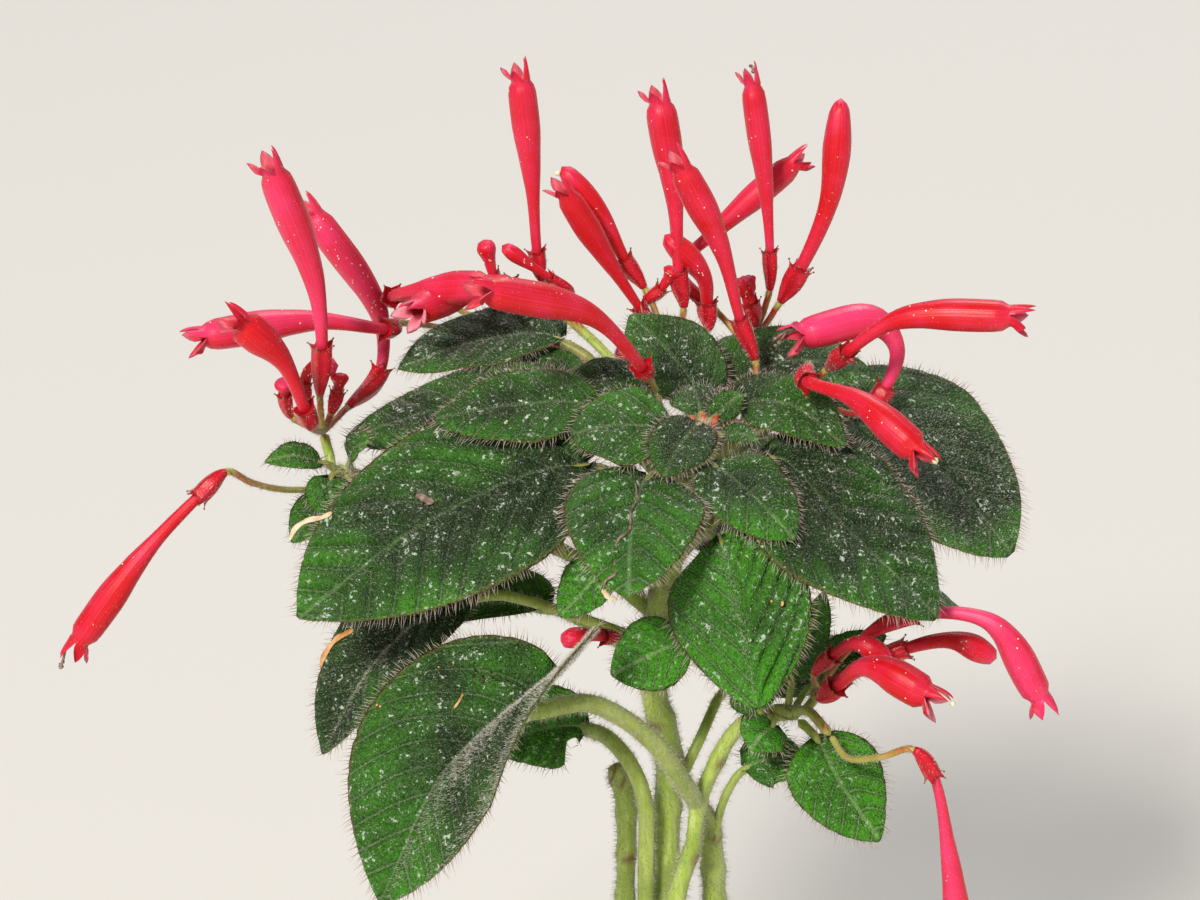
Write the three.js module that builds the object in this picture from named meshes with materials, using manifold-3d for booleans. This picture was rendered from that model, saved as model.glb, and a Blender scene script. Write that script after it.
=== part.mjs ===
// Potted sinningia lineata: a hairy rosette of quilted leaves on short stems, with slender red
// tubular flowers above, beside and below it, in a plain round nursery pot.
// Millimetres, +Z up. The origin is the middle of the pot's base, and the show side faces -Y.

import * as THREE from 'three';
import { mergeVertices } from 'three/addons/utils/BufferGeometryUtils.js';
import Module from 'manifold-3d';

const wasm = await Module();
wasm.setup();

// Driving dimensions of the pot and its soil
const POT_HEIGHT = 100;
const POT_BASE_RADIUS = 41;
const POT_RIM_RADIUS = 57;
const POT_WALL = 2.2;
const POT_FLOOR = 3;
const RIM_HEIGHT = 13;
const RIM_STEP = 2.4;
const POT_SIDES = 32;
const DRAIN_HOLES = 5;
const DRAIN_HOLE_RADIUS = 4;
const DRAIN_CIRCLE = 26;
const SOIL_LEVEL = 91;
const SOIL_CROWN = 2;

// The woody root stock, half sunk in the soil
const TUBER_CENTRE = [1, 0, 89];
const TUBER_RADII = [20, 19, 14];

// The knob of young growth on top of the main stem
const CROWN_CENTRE = [6.3, -10.3, 245];
const CROWN_RADII = [2.2, 2.2, 4.2];

// What keeps separate pieces clear of each other
const CLEARANCE = 0.35;

// Leaf blades
const PETIOLE_RADIUS = 1.1;
const RIB_THICKNESS = 1.2;
const MARGIN_THICKNESS = 0.75;
const TOOTH = 0.04;
const CAMBER = 0.1;

// Flower radii at girth 1, from the stalk to the mouth
const STALK_RADIUS = 0.65;
const FOOT_RADIUS = 0.75;
const HEAD_STEM_RADIUS = 1;
const LOBES = 5;
const FLOWER_SIDES = 2 * LOBES;
const NARROW_SHARE = 0.5;
const CALYX_RADIUS = 2;
const CALYX_TOOTH = { radius: 2.9, reach: 1.8 };
const CALYX_NOTCH = { radius: 1.9, reach: 0.9 };
const TUBE_PROFILE = [[0.04, 1.15], [0.33, 1.5], [0.6, 2.6], [0.83, 3.5], [1, 2.7]];
const BUD_PROFILE = [[0.06, 1.2], [0.4, 1.6], [0.75, 2.7], [0.92, 2.0], [1, 0.6]];
const HOOD_LOBE = { radius: 2.1, reach: 5 };
const SPREAD_LOBE = { radius: 3.9, reach: 3.2 };
const LOBE_NOTCH = { radius: 2.7, reach: 0.3 };
const THROAT = { depth: 1.6, radius: 0.9 };

const LEAF_GREEN = new THREE.MeshStandardMaterial({ color: '#2c5a22', roughness: 0.6, metalness: 0 });
const STEM_GREEN = new THREE.MeshStandardMaterial({ color: '#8aa54a', roughness: 0.6, metalness: 0 });
const FLOWER_RED = new THREE.MeshStandardMaterial({ color: '#e3182c', roughness: 0.4, metalness: 0 });
const POT_BROWN = new THREE.MeshStandardMaterial({ color: '#8a4a30', roughness: 0.7, metalness: 0 });
const SOIL_DARK = new THREE.MeshStandardMaterial({ color: '#33261c', roughness: 0.95, metalness: 0 });
const TUBER_BROWN = new THREE.MeshStandardMaterial({ color: '#7a6046', roughness: 0.85, metalness: 0 });

const plant = new THREE.Group();

const vec = (p) => new THREE.Vector3(...p);
const lerp = THREE.MathUtils.lerp;
const radians = THREE.MathUtils.degToRad;

function addPiece(name, geometry, material) {
  const mesh = new THREE.Mesh(geometry, material);
  mesh.name = name;
  plant.add(mesh);
}

// A curve that passes through each point.
function curveThrough(points) {
  return new THREE.CatmullRomCurve3(points.map(vec), false, 'centripetal');
}

// A closed skin over rings that turn anticlockwise about the way they advance. A ring may have twice
// or half the points of the one before it. Between equal rings the diagonal of each four-sided patch
// can be flipped, ring point by ring point.
function loft(rings, isFlipped = () => false) {
  const points = rings.flat();
  const index = [];
  let start = 0;
  for (let i = 0; i + 1 < rings.length; i += 1) {
    const [count, nextCount] = [rings[i].length, rings[i + 1].length];
    const here = (k) => start + (k % count);
    const next = (k) => start + count + (k % nextCount);
    for (let k = 0; k < Math.min(count, nextCount); k += 1) {
      if (nextCount === 2 * count) {
        index.push(here(k), here(k + 1), next(2 * k + 1), here(k), next(2 * k + 1), next(2 * k));
        index.push(here(k + 1), next(2 * k + 2), next(2 * k + 1));
      } else if (count === 2 * nextCount) {
        index.push(here(2 * k), here(2 * k + 1), next(k), here(2 * k + 1), next(k + 1), next(k));
        index.push(here(2 * k + 1), here(2 * k + 2), next(k + 1));
      } else if (isFlipped(k)) {
        index.push(here(k), here(k + 1), next(k), here(k + 1), next(k + 1), next(k));
      } else {
        index.push(here(k), here(k + 1), next(k + 1), here(k), next(k + 1), next(k));
      }
    }
    start += count;
  }
  const sumOf = (ring) => ring.reduce((sum, p) => sum.add(p), new THREE.Vector3());
  const centreOf = (ring) => sumOf(ring).divideScalar(ring.length);
  const firstRing = rings[0].length;
  const lastRing = rings[rings.length - 1].length;
  const first = points.push(centreOf(rings[0])) - 1;
  const last = points.push(centreOf(rings[rings.length - 1])) - 1;
  for (let k = 0; k < firstRing; k += 1) index.push(first, (k + 1) % firstRing, k);
  for (let k = 0; k < lastRing; k += 1) index.push(last, start + k, start + ((k + 1) % lastRing));
  const geometry = new THREE.BufferGeometry().setFromPoints(points);
  geometry.setIndex(index);
  return geometry;
}

// A round tube through the points, its radius running from the first value to the last.
function tube(points, radii, sides, rings = points.length + 1) {
  const curve = curveThrough(points);
  const frames = curve.computeFrenetFrames(rings - 1, false);
  return loft(Array.from({ length: rings }, (_, i) => {
    const place = i / (rings - 1);
    const radius = lerp(radii[0], radii[1], place);
    const centre = curve.getPointAt(place);
    return Array.from({ length: sides }, (__, k) => {
      const angle = (2 * Math.PI * k) / sides;
      return centre.clone()
        .addScaledVector(frames.normals[i], radius * Math.cos(angle))
        .addScaledVector(frames.binormals[i], radius * Math.sin(angle));
    });
  }));
}

function ellipsoid(centre, radii, across = 16, up = 9) {
  const geometry = new THREE.SphereGeometry(1, across, up);
  geometry.rotateX(Math.PI / 2);
  geometry.scale(...radii);
  geometry.translate(...centre);
  return geometry;
}

// Joins and cuts
function toSolid(geometry) {
  const plain = geometry.clone();
  plain.deleteAttribute('normal');
  plain.deleteAttribute('uv');
  const merged = mergeVertices(plain, 1e-4);
  return new wasm.Manifold(new wasm.Mesh({
    numProp: 3,
    vertProperties: new Float32Array(merged.attributes.position.array),
    triVerts: new Uint32Array(merged.index.array),
  }));
}

function toGeometry(solid) {
  const pieces = solid.decompose().sort((a, b) => b.volume() - a.volume());
  const mesh = pieces[0].getMesh();
  const geometry = new THREE.BufferGeometry();
  geometry.setAttribute('position', new THREE.BufferAttribute(new Float32Array(mesh.vertProperties), 3));
  geometry.setIndex(new THREE.BufferAttribute(new Uint32Array(mesh.triVerts), 1));
  return geometry;
}

// Fuses shapes into one body, cuts others out of it and keeps the body without loose scraps.
function fuse(shapes, cutters = []) {
  let solid = shapes.map(toSolid).reduce((sum, shape) => sum.add(shape));
  cutters.map(toSolid).forEach((cutter) => {
    solid = solid.subtract(cutter);
  });
  return toGeometry(solid);
}

// Stems: a centre line from the root stock up, with the radius at its foot and at its top
const STEMS = {
  main: { line: [[-1, 0, 92], [-1, 0, 139], [0, 2, 162], [0, 2, 174], [-3, 1, 187], [-2, -2, 208],
    [3, -7, 230], [6, -10, 243]], radii: [3.4, 2.2] },
  second: { line: [[11, 4, 92], [10, 4, 137], [9, 3, 152], [8, 2, 158]], radii: [2.6, 2.3] },
  right: { line: [[2, -9, 92], [1, -7, 139], [5, -7, 156], [6, -6, 164], [9, -5, 172], [14, -5, 181],
    [21, -6, 185], [27, -8, 186]], radii: [2, 1.5] },
  left: { line: [[-2, -1, 204], [-14, 4, 212], [-34, 8, 221], [-54, 6, 229], [-68, 3, 235]],
    radii: [1.6, 1.3] },
  stub: { line: [[-11, 2, 92], [-9, 0, 140], [-9, -1, 164], [-11, -2, 172]], radii: [1.9, 2.1] },
};

// A stem, or with grow the room it needs, which also reaches past the stem's top.
function stemTube(name, grow = 0) {
  const { line, radii } = STEMS[name];
  const [below, top] = line.slice(-2).map(vec);
  const end = top.clone().add(top.clone().sub(below).setLength(grow));
  return tube([...line.slice(0, -1), end.toArray()], radii.map((radius) => radius + grow), 8);
}

// The point of a stem's centre line at a given height.
function stemPoint(name, height) {
  const { line } = STEMS[name];
  const upper = line.findIndex((p, i) => i > 0 && (p[2] >= height || i === line.length - 1));
  const share = (height - line[upper - 1][2]) / (line[upper][2] - line[upper - 1][2]);
  return line[upper].map((value, axis) => lerp(line[upper - 1][axis], value, share));
}

// Leaves. root is the stem and the height it leaves it at, or a point. via leads the petiole.
// base, mid and tip are places on the midrib, width is the blade's full width, faces is where the
// upper side looks, and fold lifts the left and right half in degrees, seen from root to tip.
const LEAVES = [
  { name: 'leaf_front_left_large', root: ['main', 227], base: [-18, -14, 242], mid: [-47, -23, 234],
    tip: [-72, -37, 219], width: 44, faces: [-0.15, -0.5, 0.85], fold: [4, 4] },
  { name: 'leaf_low_left_large', root: ['second', 156], via: [[3, -12, 172], [-8, -26, 192]],
    base: [-22, -42, 206], mid: [-43, -48, 193], tip: [-56, -58, 169], width: 42,
    faces: [-0.25, -0.8, 0.55], fold: [33, 5], petiole: 1.9 },
  { name: 'leaf_left_behind', root: ['main', 198], base: [-40, -6, 211], mid: [-58, -10, 200],
    tip: [-70, -17, 181], width: 26, faces: [-0.55, -0.55, 0.62], fold: [20, 20] },
  { name: 'leaf_upper_left', root: ['main', 230.8], base: [-19, 4, 248], mid: [-43, 10, 246],
    tip: [-66, 12, 238], width: 26, faces: [-0.25, -0.3, 0.9], fold: [3, 3] },
  { name: 'leaf_upper_left_short', root: ['main', 237.6], base: [-16, -7, 252], mid: [-31, -7, 252],
    tip: [-47, -7, 249], width: 20, faces: [-0.1, -0.45, 0.88], fold: [3, 3] },
  { name: 'leaf_upper_left_inner', root: ['main', 235.2], via: [[-9, 3, 244]], base: [-20, 17, 250],
    mid: [-31, 20, 249], tip: [-42, 22, 245], width: 20, faces: [-0.1, -0.35, 0.93], fold: [3, -2] },
  { name: 'leaf_upper_left_rear', root: ['main', 228.7], via: [[-7, 18, 241]], base: [-23, 27, 255],
    mid: [-40, 30, 253], tip: [-56, 27, 248], width: 23, faces: [-0.2, -0.25, 0.93], fold: [9, 9] },
  { name: 'leaf_front_centre', root: ['main', 235], base: [-5, -24, 243], mid: [-8, -38, 240],
    tip: [-9, -55, 231], width: 27, faces: [0, -0.35, 0.93], fold: [6, 6] },
  { name: 'leaf_front_right_small', root: ['main', 238], base: [8, -22, 245], mid: [15, -28, 241],
    tip: [23, -34, 234], width: 20, faces: [0.2, -0.5, 0.85], fold: [4, 4] },
  { name: 'leaf_crown_left', root: ['main', 239.8], via: [[1.5, -13, 243.5]], base: [-2, -16, 250],
    mid: [-11, -16, 251], tip: [-20, -16, 249], width: 22, faces: [-0.15, -0.4, 0.9], fold: [4, 4] },
  { name: 'leaf_crown_right', root: ['main', 239.9], via: [[10, -8, 243.8]], base: [13, -3, 250.5],
    mid: [23, -5, 251.5], tip: [34, -12, 245], width: 18, faces: [0.1, -0.4, 0.9], fold: [5, 5] },
  { name: 'leaf_crown_rear', root: ['main', 238.9], base: [6, 6, 249], mid: [0, 13, 256],
    tip: [-8, 20, 262], width: 20, faces: [0.1, -0.6, 0.8], fold: [6, 6] },
  { name: 'leaf_crown_rear_left', root: ['main', 239.9], base: [-6, 1, 252], mid: [-14, 2, 254],
    tip: [-23, 3, 251], width: 13, faces: [-0.1, -0.45, 0.88], fold: [6, 6] },
  { name: 'leaf_rear_right_upper', root: ['main', 235.7], base: [10, 12, 248], mid: [24, 20, 252],
    tip: [41, 22, 250], width: 25, faces: [0.1, -0.35, 0.92], fold: [4, 4] },
  { name: 'leaf_right_large', root: ['main', 231], base: [20, -12, 243], mid: [33, -23, 233],
    tip: [51, -33, 217.5], width: 41, faces: [0.35, -0.5, 0.8], fold: [4, 9] },
  { name: 'leaf_far_right', root: ['main', 225.2], base: [36, 10, 243], mid: [54, 6, 234],
    tip: [69, -1, 218], width: 46, faces: [0.45, -0.5, 0.75], fold: [6, 6] },
  { name: 'leaf_front_quilted', root: ['main', 221], base: [9, -31, 232.5], mid: [13, -40, 220],
    tip: [16, -46, 204], width: 27, faces: [0.1, -0.85, 0.5], fold: [8, 8] },
  { name: 'leaf_front_round', root: ['main', 202], via: [[5, -12, 206]], base: [2, -22, 208],
    mid: [-5, -23, 205], tip: [-12, -23, 201], width: 15, faces: [-0.2, -0.85, 0.5], fold: [4, 4] },
  { name: 'leaf_front_folded_small', root: ['main', 212], base: [-13, -24, 225], mid: [-17, -27, 221],
    tip: [-22, -29, 216], width: 12, faces: [-0.3, -0.7, 0.6], fold: [20, 20] },
  { name: 'leaf_low_right', root: [26, -8, 184.6], base: [30, -14, 182.5], mid: [34, -19, 176],
    tip: [42, -24, 165], width: 20, faces: [0.2, -0.85, 0.5], fold: [5, 5], petiole: 0.9 },
  { name: 'leaf_low_middle_right', root: ['second', 149], via: [[12, -2, 165]], base: [16, -2, 171],
    mid: [22, -1.6, 172.6], tip: [28, -2.5, 170], width: 13, faces: [0.1, -0.6, 0.8],
    fold: [6, 6], petiole: 0.9 },
  { name: 'leaf_low_left_bitten', root: [-5, -6, 100], via: [[-5, -6, 141], [-5, -7, 166], [-10, -4, 176]],
    base: [-18, 5, 177], mid: [-26, 6, 176], tip: [-37, 5, 172], width: 18, faces: [-0.1, -0.8, 0.6],
    fold: [10, 10], petiole: 1.7 },
  { name: 'leaf_low_rear_right', root: ['main', 160], via: [[7, 7, 174]], base: [13, 18, 181],
    mid: [28, 34, 184], tip: [40, 52, 176], width: 34, faces: [0.2, -0.1, 0.95], fold: [6, 6] },
];

// Leaves on the plant's far side follow one rule. heading is in degrees anticlockwise from +X, rise
// is where the petiole leaves the main stem, and height is the blade's at its base.
const REAR_BASE_RADIUS = 25;
const REAR_TIP_DROP = 14;
const REAR_LEAVES = [
  { heading: 38, rise: 217, height: 230, reach: 64, width: 34 },
  { heading: 92, rise: 219, height: 232, reach: 66, width: 36 },
  { heading: 142, rise: 214, height: 226, reach: 64, width: 34 },
  { heading: 12, rise: 203, height: 213, reach: 66, width: 34 },
  { heading: 64, rise: 199, height: 210, reach: 70, width: 38 },
  { heading: 116, rise: 201, height: 214, reach: 70, width: 38 },
  { heading: 160, rise: 193, height: 203, reach: 62, width: 32 },
];

function rearLeaf({ heading, rise, height, reach, width }, number) {
  const [x, y] = stemPoint('main', rise);
  const [across, away] = [Math.cos(radians(heading)), Math.sin(radians(heading))];
  const out = (radius, level) => [x + radius * across, y + radius * away, level];
  return {
    name: `leaf_rear_${number + 1}`,
    root: ['main', rise],
    base: out(REAR_BASE_RADIUS, height),
    mid: out((REAR_BASE_RADIUS + reach) / 2, height),
    tip: out(reach, height - REAR_TIP_DROP),
    width,
    faces: [0.3 * across, 0.3 * away, 0.95],
    fold: [5, 5],
  };
}

// Half the blade's width at a place from 0 at its base to 1 at its tip, as a share of its widest half
function bladeOutline(place) {
  const widest = 0.401;
  return (place ** 0.55 * (1 - place) ** 0.8) / widest;
}

// Rows along the blade and points across it, fewer on a smaller leaf
function leafDetail(width) {
  if (width > 24) return { rows: 8, columns: 5 };
  if (width > 13) return { rows: 6, columns: 5 };
  return { rows: 5, columns: 3 };
}

// One leaf: a round petiole that opens into a toothed blade, the same triangles above and below.
function leafShape(leaf) {
  const { via = [], petiole = PETIOLE_RADIUS, fold, width } = leaf;
  const { rows, columns } = leafDetail(width);
  const root = typeof leaf.root[0] === 'string' ? stemPoint(...leaf.root) : leaf.root;
  const path = [root, ...via, leaf.base, leaf.mid, leaf.tip];
  const spine = curveThrough(path);
  const baseShare = (path.length - 3) / (path.length - 1);
  const petioleRows = 2 * via.length + 2;
  const faces = vec(leaf.faces);
  const half = Math.floor(columns / 2);

  const frameAt = (share) => {
    const along = spine.getTangent(share);
    const up = faces.clone().addScaledVector(along, -faces.dot(along)).normalize();
    return { centre: spine.getPoint(share), up, side: new THREE.Vector3().crossVectors(along, up) };
  };
  const stalkSides = columns === 3 ? 6 : 5;
  const stalkRing = (share) => {
    const { centre, up, side } = frameAt(share);
    return Array.from({ length: stalkSides }, (_, k) => {
      const angle = (2 * Math.PI * k) / stalkSides - (half * Math.PI) / columns;
      return centre.clone()
        .addScaledVector(up, petiole * Math.cos(angle))
        .addScaledVector(side, petiole * Math.sin(angle));
    });
  };
  const bladeRing = (row) => {
    const place = row / rows;
    const { centre, up, side } = frameAt(lerp(baseShare, 1, place));
    const tooth = row === rows ? 0 : TOOTH * (row % 2 ? 1 : -1);
    const reach = Math.max(0.45, (width / 2) * bladeOutline(Math.min(place, 0.995)) * (1 + tooth));
    const surface = (column, sign) => {
      const across = (column - half) / half;
      const lift = radians(fold[across < 0 ? 0 : 1]);
      const thickness = lerp(RIB_THICKNESS, MARGIN_THICKNESS, Math.abs(across));
      const rise = reach * (Math.abs(across) * Math.sin(lift) - CAMBER * across * across);
      return centre.clone()
        .addScaledVector(side, across * reach * Math.cos(lift))
        .addScaledVector(up, rise + (sign * thickness) / 2);
    };
    const upper = Array.from({ length: columns }, (_, k) => surface(k, 1));
    const lower = Array.from({ length: columns }, (_, k) => surface(columns - 1 - k, -1));
    return [...upper, ...lower];
  };

  const rings = [];
  for (let i = 0; i < petioleRows; i += 1) rings.push(stalkRing((i / petioleRows) * baseShare));
  rings.push(stalkRing(baseShare));
  for (let row = 1; row <= rows; row += 1) rings.push(bladeRing(row));
  // Each half's diagonals lean the same way on both faces.
  return loft(rings, (k) => (k < columns ? k < half : k - columns < half));
}

// A flower from its stalk to its mouth. stalk is the line up to the calyx's narrow foot, tube the
// calyx, the belly and the mouth, and lip is the side on which the two upper lobes stand.
function bloomShape({ stalk, tube: line, lip, girth = 1, bud = false }) {
  const path = curveThrough([...stalk, ...line]);
  const steps = stalk.length + line.length - 1;
  const footShare = (stalk.length - 1) / steps;
  const calyxShare = stalk.length / steps;
  const lipSide = vec(lip);

  // A ring has one radius and lies flat, or each of its points takes its own shape.
  const ring = (share, shape, sides = FLOWER_SIDES) => {
    const centre = path.getPoint(share);
    const along = path.getTangent(share);
    const up = lipSide.clone().addScaledVector(along, -lipSide.dot(along)).normalize();
    const side = new THREE.Vector3().crossVectors(along, up);
    return Array.from({ length: sides }, (_, k) => {
      const { radius, reach } = typeof shape === 'number' ? { radius: shape, reach: 0 } : shape(k);
      const angle = (2 * Math.PI * k) / sides + Math.PI / LOBES;
      return centre.clone()
        .addScaledVector(up, radius * girth * Math.cos(angle))
        .addScaledVector(side, radius * girth * Math.sin(angle))
        .addScaledVector(along, reach);
    });
  };

  const isPoint = (k) => k % 2 === 0;
  const rings = stalk.slice(0, -1).map((_, i) => ring(i / steps, STALK_RADIUS / girth, LOBES));
  rings.push(ring(footShare, FOOT_RADIUS / girth, LOBES));
  rings.push(ring(calyxShare, CALYX_RADIUS, LOBES));
  rings.push(ring(calyxShare, (k) => (isPoint(k) ? CALYX_TOOTH : CALYX_NOTCH)));
  (bud ? BUD_PROFILE : TUBE_PROFILE).forEach(([place, radius]) => {
    const sides = bud || place < NARROW_SHARE ? LOBES : FLOWER_SIDES;
    rings.push(ring(lerp(calyxShare, 1, place), radius, sides));
  });
  if (!bud) {
    // Five lobes: the two next to the lip reach on as a hood, the other three turn outwards.
    const isHood = (k) => k === 0 || k === FLOWER_SIDES - 2;
    const lobe = (k) => (isHood(k) ? HOOD_LOBE : SPREAD_LOBE);
    rings.push(ring(1, (k) => (isPoint(k) ? lobe(k) : LOBE_NOTCH)));
    rings.push(ring(1, () => ({ radius: THROAT.radius, reach: -THROAT.depth }), LOBES));
  }
  return loft(rings);
}

// Flower heads: each is one piece, its flowers fused at the hub, the last point of its own stem.
const HEADS = [
  { name: 'flowers_left_shoot', stem: [[-68, 3, 234], [-69, 5, 238], [-70, 5, 242]], blooms: [
    { stalk: [[-70, 1, 251]], tube: [[-69, -2, 262], [-70, -3, 276], [-77, -6, 299]],
      lip: [0.9, 0, 0.3] },
    { stalk: [[-71, -4, 246]], tube: [[-72, -10, 252], [-76, -14, 264], [-83, -17, 272]],
      lip: [0, 0.3, 1] },
    { stalk: [[-73, 8, 247]], tube: [[-74, 9, 250.5], [-72.3, 9, 253.8], [-66.8, 9, 254.8]],
      lip: [0, 0, 1], bud: true, girth: 0.8 },
    { stalk: [[-76, 3, 246]], tube: [[-77, 1, 251], [-77, 0, 253], [-77, -1, 255]],
      lip: [0, 1, 0], bud: true, girth: 0.7 },
    { stalk: [[-68.5, 7.5, 245]], tube: [[-67.3, 9, 248.5], [-66.8, 9.6, 250.8], [-66.6, 10, 253]],
      lip: [0, 1, 0], bud: true, girth: 0.7 },
    { stalk: [[-66, 17, 243]], tube: [[-60, 31, 246], [-60, 33, 258], [-73, 34, 279]],
      lip: [0.7, 0, 0.7], girth: 0.95 },
  ] },
  { name: 'flower_left_drooping', stem: [[-58, 5.5, 230.5], [-64, 8, 228.5], [-71, 6, 229.5]], blooms: [
    { stalk: [[-77, -4, 233], [-83, -13, 238], [-87, -18, 242]],
      tube: [[-92, -20, 238], [-103, -23, 227], [-116, -26, 210]],
      lip: [-0.6, 0, 0.7], girth: 0.9 },
  ] },
  { name: 'flowers_upper_left', stem: [['main', 222.5], [-7, 10, 231], [-16, 27, 238], [-33, 48, 246]],
    blooms: [
    { stalk: [[-47, 45, 251], [-56, 33, 256]], tube: [[-58, 23, 258], [-72, 16, 262], [-93, 6, 262]],
      lip: [0, -0.2, 1] },
    { stalk: [[-45, 47, 255], [-56, 37, 260]], tube: [[-57, 29, 263], [-50, 21, 267], [-37, 14, 270]],
      lip: [0, 0, 1] },
    { stalk: [[-32, 49, 255]], tube: [[-33, 46, 260], [-40, 31, 264], [-51, 14, 265]], lip: [0, 0, 1] },
  ] },
  { name: 'flowers_upper_middle', stem: [['main', 233.2], [-2, 9, 244], [-13, 25, 252], [-22, 28, 260]],
    blooms: [
    { stalk: [[-26, 27, 267]], tube: [[-27, 26, 273], [-28, 26, 289], [-30, 26, 309]],
      lip: [1, 0, 0], girth: 0.85 },
    { stalk: [[-33, 30, 263]], tube: [[-36, 30, 267], [-37, 30, 271], [-38, 30, 275]],
      lip: [1, 0, 0], bud: true, girth: 0.75 },
    { stalk: [[-20, 25, 265]], tube: [[-24, 22, 269], [-29, 20, 273], [-34, 19, 277]],
      lip: [0, 0, 1], bud: true, girth: 0.6 },
  ] },
  { name: 'flower_front_arching',
    stem: [['main', 241.6], [0.5, -9.3, 243.7], [-2.5, -6.5, 249], [-3, -5, 254]],
    blooms: [
    { stalk: [[-5, -9, 259]], tube: [[-6, -14, 262], [-16, -24, 276], [-35, -34, 284]],
      lip: [0, -0.1, 1] },
  ] },
  { name: 'flowers_rear_centre', stem: [['main', 230.8], [4, 10, 242], [1, 24, 252]], blooms: [
    { stalk: [[-3, 25, 257]], tube: [[-6, 24, 262], [-12, 22, 272], [-21, 18, 288]],
      lip: [0.7, 0, 0.7], girth: 0.8 },
    { stalk: [[-5, 28, 265]], tube: [[-9, 28, 271], [-13, 28, 279], [-22, 28, 291]],
      lip: [0.7, 0, 0.7], bud: true, girth: 0.95 },
    { stalk: [[3, 27, 261]], tube: [[2, 28, 268], [1, 31, 284], [-2, 32, 303]],
      lip: [0.8, 0, 0.4], girth: 0.95 },
    { stalk: [[-5, 27, 262]], tube: [[-2, 27, 265], [0, 27, 268], [1, 27, 270]],
      lip: [0, 0, 1], bud: true, girth: 0.7 },
    { stalk: [[8, 31, 255]], tube: [[8, 32, 260], [7, 31, 267], [-1, 30, 276]],
      lip: [0.8, 0, 0.6], bud: true },
  ] },
  { name: 'flower_crown_tall', stem: [['main', 233.5], [12, 0, 241], [17, 5.5, 249]], blooms: [
    { stalk: [[17, 8, 256]], tube: [[14, 9, 264], [10, 9, 279], [2, 8, 296]],
      lip: [0.8, 0, 0.4], girth: 0.9 },
  ] },
  { name: 'flowers_rear_right', stem: [['main', 227.2], [10, 16, 239], [17, 34, 250]], blooms: [
    { stalk: [[21, 36, 262]], tube: [[21, 36, 270], [20, 37, 283], [17, 39, 305]],
      lip: [1, 0, 0], girth: 0.75 },
    { stalk: [[23, 34, 260]], tube: [[27, 34, 267], [33, 35, 282], [35, 37, 303]],
      lip: [1, 0, 0], bud: true, girth: 1.1 },
    { stalk: [[10, 39, 257]], tube: [[2, 42, 264], [11, 46, 273], [26, 48, 286]],
      lip: [0, 0, 1], girth: 0.85 },
    { stalk: [[18, 31, 256]], tube: [[17, 30, 261], [16, 30, 264], [15, 30, 267]],
      lip: [0, 0, 1], bud: true, girth: 0.9 },
  ] },
  { name: 'flowers_right_arching', stem: [['main', 237.4], [14, -3, 244], [26, 6, 249]], blooms: [
    { stalk: [[38.5, 6.5, 245.5]], tube: [[43, 8, 250], [45.5, 9.5, 258], [41, 9, 264], [26, 4, 263]],
      lip: [0, 1, 0.4], girth: 1.05 },
    { stalk: [[31, 3, 256]], tube: [[34, -5, 262], [44, -8, 270], [65, -12, 272]],
      lip: [0, 0, 1], girth: 0.95 },
    { stalk: [[27, 6, 255], [27, -5, 259]], tube: [[26, -13, 259], [35, -21, 258], [46, -30, 251]],
      lip: [0.2, 0, 1] },
  ] },
  { name: 'flowers_low_right', stem: [[27, -8, 186], [29, -7, 188], [30, -7, 191]], blooms: [
    { stalk: [[38, -12, 204]], tube: [[48, -16, 211], [63, -20, 211], [73, -22, 196]],
      lip: [0.3, 0, 1], girth: 0.95 },
    { stalk: [[30, -12, 191]], tube: [[33, -15, 195], [39, -21, 202], [50, -28, 199]],
      lip: [0, 0, 1], girth: 1.1 },
    { stalk: [[38, -8, 195]], tube: [[47, -8, 200], [57, -8, 202], [66, -8, 198]],
      lip: [0, 0, 1], bud: true },
    { stalk: [[29, -11, 196]], tube: [[32, -12, 200], [37, -14, 204], [44, -16, 201]],
      lip: [0, 0, 1], bud: true, girth: 0.85 },
  ] },
  { name: 'flower_low_right_hanging', stem: [[25, -7.5, 186], [28, -13, 188.5], [32, -19, 186]],
    blooms: [
    { stalk: [[35, -25, 184], [41, -31, 187], [47, -34, 190]],
      tube: [[51, -34, 185], [55, -34, 167], [59, -34, 140]],
      lip: [1, 0, 0.2], girth: 0.85 },
  ] },
  { name: 'bud_front', stem: [['main', 197], [-5, -6, 200], [-7, -8, 202]], blooms: [
    { stalk: [[-10, -11, 204]], tube: [[-13, -13, 205], [-17, -17, 207], [-22, -20, 207]],
      lip: [0, 0, 1], bud: true, girth: 0.8 },
  ] },
  { name: 'flowers_rear_left_low', stem: [['main', 225.5], [-5, 20, 235], [-11, 42, 238]], blooms: [
    { stalk: [[-16, 51, 240]], tube: [[-21, 58, 241], [-32, 70, 238], [-44, 79, 227]], lip: [0, 0, 1] },
    { stalk: [[-10, 51, 240]], tube: [[-9, 58, 241], [-7, 71, 237], [-5, 83, 226]], lip: [0, 0, 1] },
  ] },
  { name: 'flowers_rear_right_low', stem: [['main', 223.4], [14, 16, 234], [28, 36, 236]], blooms: [
    { stalk: [[34, 43, 237]], tube: [[39, 48, 237], [50, 58, 232], [60, 65, 220]], lip: [0, 0, 1] },
    { stalk: [[30, 46, 238]], tube: [[31, 53, 239], [33, 67, 235], [36, 80, 224]],
      lip: [0, 0, 1], girth: 0.9 },
    { stalk: [[32, 36, 240]], tube: [[35, 37, 242], [37, 38, 244], [39, 40, 246]],
      lip: [0, 0, 1], bud: true, girth: 0.8 },
  ] },
];

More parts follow.
